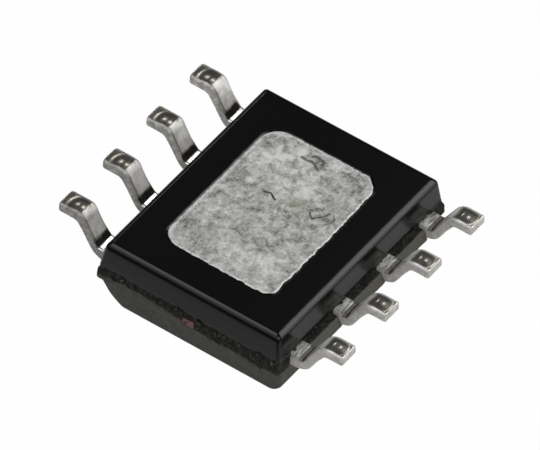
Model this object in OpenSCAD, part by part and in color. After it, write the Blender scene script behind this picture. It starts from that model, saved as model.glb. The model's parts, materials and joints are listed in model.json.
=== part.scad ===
// An eight-lead small-outline chip package with a bare thermal pad.
// It lies on its marked face, so the pad and the soles of the leads look up.
// The origin is the middle of the face that it lies on. X runs across the leads,
// Y along the two rows, and Z up. Lead 1 is at -X and -Y, and the count goes along
// -X to lead 4, then back along +X from lead 5 to lead 8. All sizes are in millimetres.

/* [Moulded body] */
// Length of the body along the rows of leads, at the parting line
body_l = 4.9; // [4.7:0.05:5.3]
// Width of the body across the leads, at the parting line
body_w = 3.9; // [3.75:0.05:4.1]
// Height from the marked face to the face that holds the thermal pad
body_h = 1.54; // [1.4:0.02:1.7]
// Height of the lead frame's nearer face above the marked face
frame_z = 0.71; // [0.64:0.01:0.76]
// How far the parting line stands out past the half with the marked face
marked_ledge = 0.015; // [0.01:0.005:0.04]
// How far the parting line stands out past the half with the thermal pad
pad_ledge = 0.015; // [0.01:0.005:0.04]
// Corner radius of the parting line
ledge_r = 0.05; // [0.03:0.01:0.1]
// Draft of the half that carries the marked face, in degrees
marked_draft = 15; // [8:0.5:17]
// Draft of the half that carries the thermal pad, in degrees
pad_draft = 7.5; // [4:0.5:10]
// Upright corner radius of the half with the marked face
marked_r = 0.16; // [0.1:0.01:0.2]
// Upright corner radius of the half with the thermal pad
pad_half_r = 0.1; // [0.08:0.01:0.16]
// Radius of the edges round the face that holds the pad
edge_r = 0.11; // [0.07:0.01:0.14]
// Bevel round the marked face
base_bevel = 0.03; // [0.01:0.01:0.05]
// Width of the bevel on the lead 1 side of the marked face
chamfer_w = 0.13; // [0.08:0.01:0.2]
// Height of that bevel
chamfer_h = 0.34; // [0.2:0.02:0.4]
// Radius of the round dimple beside lead 1
dimple_r = 0.28; // [0.2:0.02:0.36]
// Depth of that dimple
dimple_depth = 0.05; // [0.02:0.01:0.08]
// Distance of the dimple's middle from the sides of the body
dimple_inset = 0.85; // [0.75:0.05:1.2]
// How far the cut resin between the leads reaches past the parting line, at its upper edge
resin_l = 0.1; // [0.05:0.01:0.12]
// How much further its lower edge reaches, where it broke off on a slant
resin_slant = 0.08; // [0.02:0.01:0.1]

/* [Leads] */
// Number of leads in each row
leads_per_row = 4; // [2:1:4]
// Distance between neighbouring leads
pitch = 1.27; // [1.2:0.01:1.3]
// Flat length of the foot, from the upper bend to the tip
foot_l = 0.325; // [0.25:0.005:0.5]
// Width of a lead
lead_w = 0.41; // [0.33:0.01:0.51]
// Thickness of the lead frame's sheet
frame_t = 0.2; // [0.17:0.01:0.23]
// How far the soles stand past the face with the pad
standoff = 0.055; // [0.02:0.005:0.15]
// Straight stretch between the parting line and the first bend
shoulder_l = 0.06; // [0.05:0.005:0.1]
// Lean of the riser from level, in degrees
riser_lean = 58.5; // [56:0.5:66]
// Inner radius of the bend beside the body
low_bend_r = 0.16; // [0.1:0.01:0.18]
// Inner radius of the bend at the foot
high_bend_r = 0.12; // [0.08:0.01:0.16]
// Radius of the two corners at a lead's tip
tip_r = 0.07; // [0.04:0.01:0.12]
// Roll-over at the edge of the sole, along the tip
tip_roll = 0.05; // [0.02:0.01:0.07]

/* [Inside the mould] */
// Length of the widened inner end of a lead, which the wire is bonded to
post_l = 0.26; // [0.22:0.02:0.3]
// Width of that inner end, which reaches from the outer edge of its lead towards the die
post_w = 0.62; // [0.5:0.02:0.8]
// Gap in the flat sheet between the inner ends and the die paddle
post_gap = 0.1; // [0.08:0.01:0.14]
// Width of the tie bars that hold the paddle while it is moulded in
tie_w = 0.2; // [0.14:0.02:0.3]
// Length of the sloping stretch of a tie bar, seen from above
tie_run = 0.35; // [0.3:0.01:0.4]
// Thickness of the tie bars along their slope
tie_t = 0.15; // [0.12:0.01:0.18]
// Width of the silicon die across the leads
die_w = 1.9; // [1.5:0.05:2.1]
// Length of the silicon die along the rows
die_l = 2.4; // [1.9:0.05:2.8]
// Thickness of the silicon die
die_t = 0.28; // [0.2:0.02:0.32]
// Thickness of the solder under the die
attach_t = 0.03; // [0.02:0.01:0.05]
// Distance between neighbouring bond pads on the die
bond_pitch = 0.6; // [0.4:0.02:0.6]
// Distance of a bond from the edge of the die, and from the end of its lead
bond_inset = 0.12; // [0.08:0.01:0.14]
// Thickness of a bond wire
wire_d = 0.05; // [0.03:0.005:0.06]
// Height of a wire's loop over the line between its two bonds
loop_h = 0.28; // [0.2:0.02:0.32]
// Radius of the pressed ends of a wire
bond_r = 0.05; // [0.04:0.005:0.06]
// Height of those pressed ends
bond_t = 0.03; // [0.025:0.005:0.04]

/* [Thermal pad] */
// Bare width of the pad, across the leads
pad_w = 2.4; // [2.2:0.02:2.46]
// Bare length of the pad, along the rows
pad_l = 3.3; // [3.0:0.05:3.45]
// Corner radius of the bare pad
pad_r = 0.4; // [0.3:0.02:0.5]
// How far the paddle reaches under the mould, all round
flange = 0.1; // [0.06:0.01:0.12]
// Thickness of that hidden flange
flange_t = 0.1; // [0.08:0.01:0.12]

/* [Hidden] */
$fn = 48;
film = 0.01; // thickness of the discs that a mould half is drawn between
hull_fn = 32; // flats round the discs and balls inside a hull
arc_steps = 8; // flats in each bend or rounded corner
lead_count = 2 * leads_per_row;
frame_mid = frame_z + frame_t / 2;
frame_top = frame_z + frame_t;
foot_z = body_h + standoff;

// The lead's centre line: shoulder, bend, riser, bend, foot.
low_mid_r = low_bend_r + frame_t / 2;
high_mid_r = high_bend_r + frame_t / 2;
rise = foot_z - frame_t / 2 - frame_mid;
riser_l = (rise - (low_mid_r + high_mid_r) * (1 - cos(riser_lean))) / sin(riser_lean);
bend_x = body_w / 2 + shoulder_l;
riser_x = bend_x + low_mid_r * sin(riser_lean);
foot_x = riser_x + riser_l * cos(riser_lean) + high_mid_r * sin(riser_lean);
tip_x = foot_x + foot_l;
low_bend = [bend_x, frame_mid + low_mid_r];
high_bend = [foot_x, foot_z - frame_t / 2 - high_mid_r];

// The inside of the mould.
paddle_z = body_h - frame_t;
flange_z = paddle_z + flange_t;
paddle_end = pad_l / 2 + flange;
post_x = pad_w / 2 + flange + post_gap;
die_top = paddle_z - attach_t - die_t;
bond_x = die_w / 2 - bond_inset;
stitch_x = post_x + bond_inset;

function lead_row(n) = n <= leads_per_row ? -1 : 1;
function lead_place(n) = n <= leads_per_row ? n - 1 : lead_count - n;
function from_middle(n) = lead_place(n) - (leads_per_row - 1) / 2;
function lead_y(n) = from_middle(n) * pitch;
function post_y(n) = lead_y(n) - sign(from_middle(n)) * (post_w - lead_w) / 2;
function bond_y(n) = from_middle(n) * bond_pitch;

// Points on a round stretch about the point c, from the angle start on by turn degrees.
function arc(c, r, start, turn) = [
    for (i = [0:arc_steps]) let (a = start + turn * i / arc_steps) c + r * [cos(a), sin(a)]
];

// A rectangle about the origin with rounded corners.
function rounded(x, y, r) = concat(
    arc([x / 2 - r, y / 2 - r], r, 0, 90),
    arc([r - x / 2, y / 2 - r], r, 90, 90),
    arc([r - x / 2, r - y / 2], r, 180, 90),
    arc([x / 2 - r, r - y / 2], r, 270, 90)
);

// ---- Moulded body ----

// A disc at each corner of a mould half, h thick and of radius r. The corners have the radius
// corner_r and lie in from the parting line by inset, and by chamfer more on the lead 1 side.
module corner_discs(z, inset, corner_r, r, h = film, chamfer = 0) {
    for (side = [-1, 1], end = [-1, 1]) {
        step = inset + (side < 0 ? chamfer : 0);
        x = side * (body_w / 2 - corner_r - step);
        y = end * (body_l / 2 - corner_r - inset);
        translate([x, y, z]) cylinder(r = r, h = h, $fn = hull_fn);
    }
}

module marked_half() {
    lean = tan(marked_draft);
    low = marked_ledge + frame_z * lean;
    hull() {
        corner_discs(0, low, marked_r, marked_r - base_bevel, chamfer = chamfer_w);
        corner_discs(base_bevel, low - base_bevel * lean, marked_r, marked_r, chamfer = chamfer_w);
        corner_discs(chamfer_h, low - chamfer_h * lean, marked_r, marked_r);
        corner_discs(frame_z, marked_ledge, marked_r, marked_r, h = frame_t / 2);
    }
}

module pad_half() {
    ball_z = body_h - edge_r;
    inset = pad_ledge + (edge_r + (ball_z - frame_top) * sin(pad_draft)) / cos(pad_draft);
    hull() {
        corner_discs(frame_mid, pad_ledge, pad_half_r, pad_half_r, h = frame_t / 2);
        for (side = [-1, 1], end = [-1, 1])
            translate([side * (body_w / 2 - inset), end * (body_l / 2 - inset), ball_z])
                sphere(r = edge_r, $fn = hull_fn);
    }
}

module parting_ledge() {
    translate([0, 0, frame_z]) linear_extrude(frame_t) polygon(rounded(body_w, body_l, ledge_r));
}

// Resin that filled the gaps between the leads up to the bar that tied them together.
module dam_bar_resin() {
    edge_x = body_w / 2;
    for (side = [0, 180], n = [1:leads_per_row - 1])
        rotate([0, 0, side]) translate([0, lead_y(n + 1) - lead_w / 2, 0])
            rotate([90, 0, 0]) linear_extrude(pitch - lead_w) polygon([
                [edge_x - resin_l, frame_z], [edge_x + resin_l + resin_slant, frame_z],
                [edge_x + resin_l, frame_top], [edge_x - resin_l, frame_top]
            ]);
}

module lead_one_dimple() {
    ball_r = (dimple_r * dimple_r + dimple_depth * dimple_depth) / (2 * dimple_depth);
    translate([dimple_inset - body_w / 2, dimple_inset - body_l / 2, dimple_depth - ball_r])
        sphere(r = ball_r);
}

module body() {
    color("#1b1b1c") difference() {
        union() {
            marked_half();
            pad_half();
            parting_ledge();
            dam_bar_resin();
        }
        lead_one_dimple();
        paddle_shape();
        attach_shape();
        die_shape();
        for (n = [1:lead_count]) {
            lead_shape(n);
            wire_shape(n);
        }
    }
}

// ---- Die, its solder and the paddle that carries it ----

module tie_bar() {
    top_y = paddle_end + tie_run;
    slope = (flange_z - frame_top) / tie_run;
    back = tie_t / sin(atan(slope));
    under_y = paddle_end + (flange_z - paddle_z) / slope - back;
    inner_y = paddle_end + (flange_z - frame_z) / slope - back;
    rotate([90, 0, 90]) translate([0, 0, -tie_w / 2]) linear_extrude(tie_w) polygon([
        [pad_l / 2 - flange, paddle_z], [pad_l / 2 - flange, flange_z], [paddle_end, flange_z],
        [top_y, frame_top], [body_l / 2, frame_top], [body_l / 2, frame_z],
        [inner_y, frame_z], [under_y, paddle_z]
    ]);
}

// A plate of the pad's outline, or larger all round by grow.
module pad_plate(grow, z, t) {
    w = pad_w + 2 * grow;
    l = pad_l + 2 * grow;
    r = pad_r + grow;
    translate([0, 0, z]) {
        translate([-w / 2, r - l / 2, 0]) cube([w, l - 2 * r, t]);
        translate([r - w / 2, -l / 2, 0]) cube([w - 2 * r, l, t]);
        for (side = [-1, 1], end = [-1, 1])
            translate([side * (w / 2 - r), end * (l / 2 - r), 0]) cylinder(r = r, h = t);
    }
}

module paddle_shape() {
    pad_plate(0, paddle_z, frame_t);
    pad_plate(flange, paddle_z, flange_t);
    tie_bar();
    mirror([0, 1, 0]) tie_bar();
}

module attach_shape() {
    translate([-die_w / 2, -die_l / 2, paddle_z - attach_t]) cube([die_w, die_l, attach_t]);
}

module die_shape() {
    translate([-die_w / 2, -die_l / 2, die_top]) cube([die_w, die_l, die_t]);
}

module die_paddle() {
    color("#a9a8a3") paddle_shape();
}

module die_attach() {
    color("#8d8f93") attach_shape();
}

module silicon_die() {
    color("#5b6470") die_shape();
}

// ---- Leads, drawn along +X and turned to their own row ----

// The side view of the bent strip, from its inner end out to the tip and back along the sole.
function lead_side() = concat(
    [[post_x, frame_z]],
    arc(low_bend, low_bend_r + frame_t, 270, riser_lean),
    arc(high_bend, high_bend_r, 90 + riser_lean, -riser_lean),
    [[tip_x, foot_z - frame_t]],
    arc([tip_x - tip_roll, foot_z - tip_roll], tip_roll, 0, 90),
    arc(high_bend, high_bend_r + frame_t, 90, riser_lean),
    arc(low_bend, low_bend_r, 270 + riser_lean, -riser_lean),
    [[post_x, frame_top]]
);

// The same strip from above, with its two rounded tip corners.
function lead_plan() = concat(
    [[post_x, lead_w / 2], [post_x, -lead_w / 2]],
    arc([tip_x - tip_r, tip_r - lead_w / 2], tip_r, 270, 90),
    arc([tip_x - tip_r, lead_w / 2 - tip_r], tip_r, 0, 90)
);

module to_row(n, y) {
    translate([0, y, 0]) rotate([0, 0, lead_row(n) < 0 ? 180 : 0]) children();
}

module lead_shape(n) {
    // The widened inner end, which the mould grips.
    to_row(n, post_y(n)) translate([post_x, -post_w / 2, frame_z]) cube([post_l, post_w, frame_t]);
    to_row(n, lead_y(n)) intersection() {
        translate([0, lead_w / 2, 0]) rotate([90, 0, 0]) linear_extrude(lead_w) polygon(lead_side());
        linear_extrude(foot_z) polygon(lead_plan());
    }
}

module lead(n) {
    color("#b3b1ab") lead_shape(n);
}

// ---- Bond wires: one arc of a circle from the die to the inner end of each lead ----

module wire_shape(n) {
    start = [lead_row(n) * bond_x, bond_y(n), die_top - bond_t];
    end = [lead_row(n) * stitch_x, post_y(n), frame_z - bond_t];
    run = norm([end.x - start.x, end.y - start.y]);
    chord = norm(end - start);
    r = (chord * chord / 4 + loop_h * loop_h) / (2 * loop_h);
    sweep = 2 * asin(chord / (2 * r));
    heading = atan2(end.y - start.y, end.x - start.x);
    drop = atan2(end.z - start.z, run);
    translate(start) rotate([0, 0, heading]) rotate([90, 0, 0]) rotate([0, 0, drop])
        translate([chord / 2, r - loop_h, 0]) rotate([0, 0, 270 - sweep / 2])
            rotate_extrude(angle = sweep) translate([r, 0]) circle(d = wire_d);
    translate(start) cylinder(r = bond_r, h = bond_t);
    translate(end) cylinder(r = bond_r, h = bond_t);
}

module bond_wire(n) {
    color("#d6a94e") wire_shape(n);
}

body();
die_paddle();
die_attach();
silicon_die();
for (n = [1:lead_count]) {
    lead(n);
    bond_wire(n);
}
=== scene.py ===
# %% [markdown]
# # A motor driver chip, lying on its marked face
# The part is an eight-lead small-outline package with a bare thermal pad. The CAD model is
# loaded first, as a fixed frame: every piece made here takes its place from it.

# %% Load the CAD frame
import json
import math
import bpy
from mathutils import Matrix, Vector, noise

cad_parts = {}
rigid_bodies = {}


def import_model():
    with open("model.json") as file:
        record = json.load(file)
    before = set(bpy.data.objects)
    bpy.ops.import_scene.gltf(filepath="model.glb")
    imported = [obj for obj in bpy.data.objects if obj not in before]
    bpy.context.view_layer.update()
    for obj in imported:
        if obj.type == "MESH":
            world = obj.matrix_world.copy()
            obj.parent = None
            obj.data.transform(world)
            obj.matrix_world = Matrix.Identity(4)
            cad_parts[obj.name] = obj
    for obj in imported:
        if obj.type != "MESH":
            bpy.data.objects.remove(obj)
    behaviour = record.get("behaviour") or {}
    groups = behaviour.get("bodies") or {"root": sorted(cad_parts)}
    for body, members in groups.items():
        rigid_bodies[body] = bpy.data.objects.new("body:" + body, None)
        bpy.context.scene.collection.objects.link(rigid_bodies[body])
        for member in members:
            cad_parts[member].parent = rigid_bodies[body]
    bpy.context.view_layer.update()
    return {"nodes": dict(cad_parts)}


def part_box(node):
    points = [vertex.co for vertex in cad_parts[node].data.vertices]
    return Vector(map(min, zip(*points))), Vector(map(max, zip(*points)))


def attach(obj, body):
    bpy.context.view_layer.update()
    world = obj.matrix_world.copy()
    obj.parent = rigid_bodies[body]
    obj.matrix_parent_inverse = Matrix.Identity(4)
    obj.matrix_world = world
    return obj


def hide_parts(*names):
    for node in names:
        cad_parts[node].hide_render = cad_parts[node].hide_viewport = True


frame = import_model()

# %% [markdown]
# ## Working in millimetres
# The chip is only 6 mm across, so its sizes read best in millimetres. Meshes are made in
# millimetres, and each one is shrunk to metres once, in its own points, when it is done.
# Sizes come from the boxes of the CAD nodes where a node gives them.

# %% Sizes taken from the CAD nodes
MM = 0.001


def high_corner(node_name):
    """The highest corner of a CAD node, in millimetres."""
    return Vector(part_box(node_name)[1]) / MM


HALF_X = 1.95                    # half width of the body at the parting line
HALF_Y = high_corner("body").y   # half length of the body
TOP = high_corner("body").z      # the face that holds the pad
LEDGE = (0.71, 0.91)             # heights of the parting ledge, where the sheet comes out
PITCH = 1.27                     # distance between neighbouring leads
LEAD_WIDTH = 0.41
SHEET = 0.2                      # thickness of the lead frame
SHEET_MIDDLE = 0.81              # height of its middle where it leaves the body
print("body", [round(v, 3) for v in (HALF_X, HALF_Y, TOP)],
      "soles at", round(high_corner("lead_5").z, 3))

# %% [markdown]
# ## Small helpers for materials and node trees
# A colour is written as it would be picked from a chart, in sRGB hex, while Blender's
# sockets take linear values, so one function turns the one into the other. Another adds a
# node: its settings are keyword arguments, and its inputs are values, sockets, or nodes,
# whose first output is then taken.

# %% Colour helper
def linear(hex_colour):
    """An sRGB hex colour as the linear values that Blender's sockets take."""
    parts = [int(hex_colour[i:i + 2], 16) / 255 for i in (1, 3, 5)]
    return [v / 12.92 if v <= 0.04045 else ((v + 0.055) / 1.055) ** 2.4 for v in parts] + [1]


print("mid grey in linear values:", [round(v, 3) for v in linear("#808080")])

# %% Node helpers
def add(tree, kind, inputs=None, **settings):
    """Adds a node, sets its properties, and fills or links its inputs."""
    made = tree.nodes.new(kind)
    for name, value in settings.items():
        setattr(made, name, value)
    for key, value in (inputs or {}).items():
        if isinstance(value, bpy.types.Node):
            value = value.outputs[0]
        if isinstance(value, bpy.types.NodeSocket):
            tree.links.new(value, made.inputs[key])
        else:
            made.inputs[key].default_value = value
    return made


def set_stops(ramp, *stops):
    """Gives a colour ramp its (place, colour) stops, from the lowest place to the highest."""
    elements = ramp.color_ramp.elements
    elements[0].position, elements[1].position = stops[0][0], stops[-1][0]
    elements[0].color, elements[1].color = linear(stops[0][1]), linear(stops[-1][1])
    for place, colour in stops[1:-1]:
        elements.new(place).color = linear(colour)


def new_material(name):
    """An empty node material, and its tree."""
    material = bpy.data.materials.new(name)
    material.use_nodes = True
    material.node_tree.nodes.clear()
    return material, material.node_tree


def per_mm(size_mm):
    """Texture scale for a pattern whose spots are size_mm across, on metre coordinates."""
    return 1 / (size_mm * MM)


print("scale of a pattern of 0.1 mm:", round(per_mm(0.1)))

# %% [markdown]
# ## The camera
# The chip is seen from above its front right corner through a long lens, as a product
# close-up is taken from well away. The camera's turn, height and small roll are plain
# angles, and its shift off the middle is put into its position.

# %% Camera
AZIMUTH, ELEVATION, ROLL = (math.radians(v) for v in (34.687, 47.034, 1.737))
LENS, SENSOR = 771.2, 36       # focal length and width of the sensor, in millimetres
CAMERA_DISTANCE, AIM_HEIGHT = 200 * MM, 0.8 * MM
AIM_LEFT, AIM_UP = 0.011 * MM, 0.249 * MM
back = Vector((math.sin(AZIMUTH) * math.cos(ELEVATION),
               -math.cos(AZIMUTH) * math.cos(ELEVATION), math.sin(ELEVATION)))
right = Vector((math.cos(AZIMUTH), math.sin(AZIMUTH), 0))
up = back.cross(right)
rolled_right = math.cos(ROLL) * right + math.sin(ROLL) * up
rolled_up = -math.sin(ROLL) * right + math.cos(ROLL) * up
camera = bpy.data.objects.new("camera", bpy.data.cameras.new("camera"))
bpy.context.collection.objects.link(camera)
camera.data.sensor_width = SENSOR
camera.data.lens = LENS
camera.data.clip_start, camera.data.clip_end = 0.01, 2.0
camera.matrix_world = Matrix.Translation(
    Vector((0, 0, AIM_HEIGHT)) + back * CAMERA_DISTANCE
    - rolled_right * AIM_LEFT + rolled_up * AIM_UP
) @ Matrix((rolled_right, rolled_up, back)).transposed().to_4x4()
bpy.context.scene.camera = camera
print("camera at", [round(v / MM, 1) for v in camera.location])

# %% [markdown]
# ## Floor and room
# The chip lies on a white sheet in a dim room. The sheet reads as pure white to the camera
# and, more weakly, in reflections, while its shadow stays. A black card lies beside the
# front short side and shows in reflections alone, so that the glossy side above it stays
# dark.

# %% White paper
PAPER_WHITE = 0.985      # share of plain white that the camera sees on the sheet
MIRRORED_WHITE = 0.25    # the same share as a glossy face sees it
paper, tree = new_material("white_paper")
path = add(tree, "ShaderNodeLightPath").outputs
seen = add(tree, "ShaderNodeMath", {0: path["Is Camera Ray"], 1: path["Is Transmission Ray"]},
           operation="MAXIMUM")
mirrored = add(tree, "ShaderNodeMath", {0: path["Is Glossy Ray"], 1: MIRRORED_WHITE},
               operation="MULTIPLY")
seen = add(tree, "ShaderNodeMath", {0: seen, 1: mirrored}, operation="MAXIMUM")
share = add(tree, "ShaderNodeMath", {0: seen, 1: PAPER_WHITE}, operation="MULTIPLY")
grain = add(tree, "ShaderNodeTexNoise", {"Scale": per_mm(0.4)})
white = add(tree, "ShaderNodeMix", {0: grain, 6: linear("#cfcfcf"), 7: linear("#d6d6d6")},
            data_type="RGBA").outputs[2]
diffuse = add(tree, "ShaderNodeBsdfDiffuse", {"Color": white})
glow = add(tree, "ShaderNodeEmission", {"Color": (1, 1, 1, 1), "Strength": 1.0})
lit = add(tree, "ShaderNodeMixShader", {0: share, 1: diffuse, 2: glow})
# From below the sheet is clear, so that views from there see the chip.
below = add(tree, "ShaderNodeNewGeometry").outputs["Backfacing"]
clear = add(tree, "ShaderNodeBsdfTransparent")
both = add(tree, "ShaderNodeMixShader", {0: below, 1: lit, 2: clear})
add(tree, "ShaderNodeOutputMaterial", {"Surface": both})
print("paper:", len(tree.nodes), "nodes")

# %% Black card, and the sheets on the floor
FLOOR_REACH = 1.0        # half the side of the floor, in metres
black_card, tree = new_material("black_card")
felt = add(tree, "ShaderNodeTexNoise", {"Scale": per_mm(2.0)})
dark = add(tree, "ShaderNodeMix", {0: felt, 6: linear("#585858"), 7: linear("#606060")},
           data_type="RGBA").outputs[2]
matt = add(tree, "ShaderNodeBsdfDiffuse", {"Color": dark})
add(tree, "ShaderNodeOutputMaterial", {"Surface": matt})


def lay_sheet(name, x0, x1, y0, y1, z, material):
    """A flat sheet of the setting, in metres, which isn't part of the chip."""
    mesh = bpy.data.meshes.new(name)
    mesh.from_pydata([(x0, y0, z), (x1, y0, z), (x1, y1, z), (x0, y1, z)], [], [(0, 1, 2, 3)])
    mesh.materials.append(material)
    sheet = bpy.data.objects.new(name, mesh)
    bpy.context.collection.objects.link(sheet)
    return sheet


lay_sheet("floor", -FLOOR_REACH, FLOOR_REACH, -FLOOR_REACH, FLOOR_REACH, 0, paper)
card = lay_sheet("black_card", -80 * MM, 40 * MM, -60 * MM, -4.3 * MM, 0.02 * MM, black_card)
card.visible_camera = card.visible_diffuse = card.visible_shadow = False
print("on the floor:", card.name)

# %% Room
ROOM_GREY = (0.07, 0.07, 0.073, 1)
world = bpy.data.worlds.new("dim_room")
bpy.context.scene.world = world
world.use_nodes = True
tree = world.node_tree
tree.nodes.clear()
path = add(tree, "ShaderNodeLightPath").outputs
air = add(tree, "ShaderNodeMix", {0: path["Is Camera Ray"], 6: ROOM_GREY,
          7: (1, 1, 1, 1)}, data_type="RGBA").outputs[2]
room = add(tree, "ShaderNodeBackground", {"Color": air})
add(tree, "ShaderNodeOutputWorld", {"Surface": room})
print("world:", world.name)

# %% [markdown]
# ## Lamps
# A glossy face shows what it mirrors, so the lamps are placed by what each face should show.
# Two long narrow boxes hang to the left, one high up and one lower towards the front. Three
# boxes stand from the far side round to the right, large enough for the pad and the leads
# to mirror. A large key box lights the front, and two small lamps show as two bright dots on
# each sole. The ceiling in between stays dark, and with it the black face round the pad.

# %% Lamps
LAMP_DISTANCE = 150      # from the chip, in millimetres
COOL = "#f4f6ff"


def soft_box(name, towards, length, depth, radiance, along=(1, 0, 0), tint="#ffffff",
             distance=LAMP_DISTANCE):
    """A rectangular lamp aimed at the chip, with its length laid along a direction.
    Its power fits its size, so that a mirror shows it as radiance times white."""
    data = bpy.data.lights.new(name, "AREA")
    data.shape = "RECTANGLE"
    data.size, data.size_y = length * MM, depth * MM
    data.energy = radiance * math.pi * length * depth * MM * MM
    data.color = linear(tint)[:3]
    lamp = bpy.data.objects.new(name, data)
    bpy.context.collection.objects.link(lamp)
    away = Vector(towards).normalized()
    over = away.cross(Vector(along)).normalized()
    lamp.matrix_world = Matrix.Translation(away * distance * MM) @ Matrix(
        (over.cross(away), over, away)).transposed().to_4x4()
    lamp.visible_camera = False


soft_box("overhead_box", (-0.39, -0.15, 0.91), 140, 34, 2.4, (0, 1, 0), COOL)
soft_box("near_left_box", (-0.39, -0.73, 0.53), 120, 34, 1.1, (0, 1, 0), COOL)
soft_box("far_box", (0.16, 0.56, 0.81), 95, 50, 3.6, tint="#f6f8ff")
soft_box("far_right_box", (0.60, 0.56, 0.57), 68, 50, 3.3)
soft_box("right_box", (0.81, 0.56, 0.19), 66, 50, 2.0)
soft_box("front_key", (0.44, -0.52, 0.73), 190, 150, 2.1, distance=190)
soft_box("sole_lamp_1", (-0.488, 0.56, 0.669), 8.5, 8.5, 9)
soft_box("sole_lamp_2", (-0.285, 0.56, 0.777), 8.5, 8.5, 9)

# %% [markdown]
# ## Meshes from rings
# The moulding and the pad are lofted: a ring of points goes round a rectangle with rounded
# corners, and each ring is joined to the next by a belt of four-sided faces. All rings have
# the same number of points, so any two can be joined. A tube, such as a bar with flat ends,
# is joined in the same way.

# %% Rings
CORNER, LONG, SHORT = 10, 220, 175     # steps round a corner, and along each kind of side


def ring(x0, x1, y0, y1, radii, z):
    """Points round a rectangle, anticlockwise seen from above, from its far right corner.
    radii is the radius of the corners, one for all or one for each."""
    points = []
    a, b, c, d = radii if isinstance(radii, tuple) else (radii,) * 4
    spots = ((x1 - a, y1 - a, 0, SHORT, a), (x0 + b, y1 - b, 90, LONG, b),
             (x0 + c, y0 + c, 180, SHORT, c), (x1 - d, y0 + d, 270, LONG, d))
    for k, (cx, cy, start, steps, radius) in enumerate(spots):
        for i in range(CORNER + 1):
            angle = math.radians(start + 90 * i / CORNER)
            points.append(Vector((cx + radius * math.cos(angle),
                                  cy + radius * math.sin(angle), z)))
        cx, cy, start, _, radius = spots[(k + 1) % 4]
        angle = math.radians(start)
        here = points[-1].copy()
        there = Vector((cx + radius * math.cos(angle), cy + radius * math.sin(angle), z))
        points += [here.lerp(there, i / steps) for i in range(1, steps)]
    return points


print("points in a ring:", len(ring(-1, 1, -1, 1, 0.1, 0)))

# %% Lofts and tubes
def loft(rings):
    """Points and faces of a closed stack of rings, from the lowest to the highest."""
    n = len(rings[0])
    points = [p for one in rings for p in one]
    faces = [(k * n + i, k * n + (i + 1) % n, (k + 1) * n + (i + 1) % n, (k + 1) * n + i)
             for k in range(len(rings) - 1) for i in range(n)]
    for one, k, turn in ((rings[0], 0, -1), (rings[-1], len(rings) - 1, 1)):
        middle = len(points)
        points.append(sum(one, Vector()) / n)
        faces += [(k * n + i, k * n + (i + 1) % n, middle)[::turn] for i in range(n)]
    return points, faces


def close_tube(faces, base, n, turns, flip):
    """Adds the faces of a tube, and of its two ends, that starts at point base and has turns
    sections of n points. flip is 1 or -1, and turns the faces round."""
    for k in range(turns - 1):
        for i in range(n):
            a, b = base + k * n + i, base + k * n + (i + 1) % n
            faces.append((a, a + n, b + n, b)[::flip])
    last = base + (turns - 1) * n
    faces.append(tuple(range(base, base + n))[::flip])
    faces.append(tuple(range(last, last + n))[::-flip])


print("faces of a loft of two rings:", len(loft([ring(-1, 1, -1, 1, 0.1, z) for z in (0, 1)])[1]))

# %% [markdown]
# ## Soft steps, short tables and noise
# Wear and breakage have no hard borders, so their shapes are written with three readings: a
# soft step from 0 to 1, a short table read by straight lines, and a smooth noise whose bumps
# have a size in millimetres and a seed of their own, so that each run gives the same chip.

# %% Readings for shapes
def smooth_step(low, high, value):
    """0 below low, 1 above high, and a soft rise between."""
    t = min(1, max(0, (value - low) / (high - low)))
    return t * t * (3 - 2 * t)


def between(knots, value):
    """Straight-line reading of a short table of (place, value) pairs."""
    if value <= knots[0][0]:
        return knots[0][1]
    for (a, va), (b, vb) in zip(knots, knots[1:]):
        if value <= b:
            return va + (vb - va) * (value - a) / (b - a)
    return knots[-1][1]


def wobble(point, size, seed=0):
    """Smooth noise from -1 to 1 whose bumps are size millimetres across."""
    return noise.noise(Vector(point) / size + Vector((seed * 17.3, seed * 5.1, seed * 9.7)))


print("noise at one spot:", round(wobble((0.3, 0.2, 0.1), 0.1, 1), 3))

# %% [markdown]
# ## Finish: moulded epoxy
# The body is epoxy filled with fine silica and blackened with carbon. The half that holds
# the pad was moulded against a polished steel face and is glossy. The half with the marked
# face was moulded against a spark-eroded face and is a matte dark grey. Where the two
# halves of the mould met, the flash was broken away and left a rough band, painted almost
# black: partly the rough resin's own colour, partly painted shade.
# Three values stored on the mesh say where each of these is.

# %% Epoxy colours
epoxy, tree = new_material("moulded_black_epoxy")
place = add(tree, "ShaderNodeTexCoord").outputs["Object"]
matte, broken, sheared = (add(tree, "ShaderNodeAttribute", attribute_name=label).outputs["Fac"]
                          for label in ("matte", "broken", "sheared"))
# The filler's grains are too fine to see, so they are drawn as specks of 0.03 mm.
specks = add(tree, "ShaderNodeTexNoise", {"Vector": place, "Scale": per_mm(0.03),
             "Detail": 3.0, "Roughness": 0.6})
clouds = add(tree, "ShaderNodeTexNoise", {"Vector": place, "Scale": per_mm(0.5),
             "Detail": 4.0})
polished = add(tree, "ShaderNodeMix", {0: clouds, 6: linear("#040404"), 7: linear("#060606")},
               data_type="RGBA").outputs[2]
patches = add(tree, "ShaderNodeTexNoise", {"Vector": place, "Scale": per_mm(0.14),
              "Detail": 5.0, "Roughness": 0.7})
patches = add(tree, "ShaderNodeMapRange", {"Value": patches, "From Min": 0.35,
              "From Max": 0.65})
eroded = add(tree, "ShaderNodeMix", {0: patches, 6: linear("#282723"), 7: linear("#47443b")},
             data_type="RGBA").outputs[2]
lumps = add(tree, "ShaderNodeTexNoise", {"Vector": place, "Scale": per_mm(0.09),
            "Detail": 4.0, "Roughness": 0.7})
# The near-black of the broken band is partly painted shade.
crumbs = add(tree, "ShaderNodeValToRGB", {"Fac": lumps})
set_stops(crumbs, (0.44, "#060605"), (0.66, "#34332a"))
torn = add(tree, "ShaderNodeMix", {0: specks, 6: linear("#3f3d34"), 7: linear("#75736a")},
           data_type="RGBA").outputs[2]
colour = polished
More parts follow.
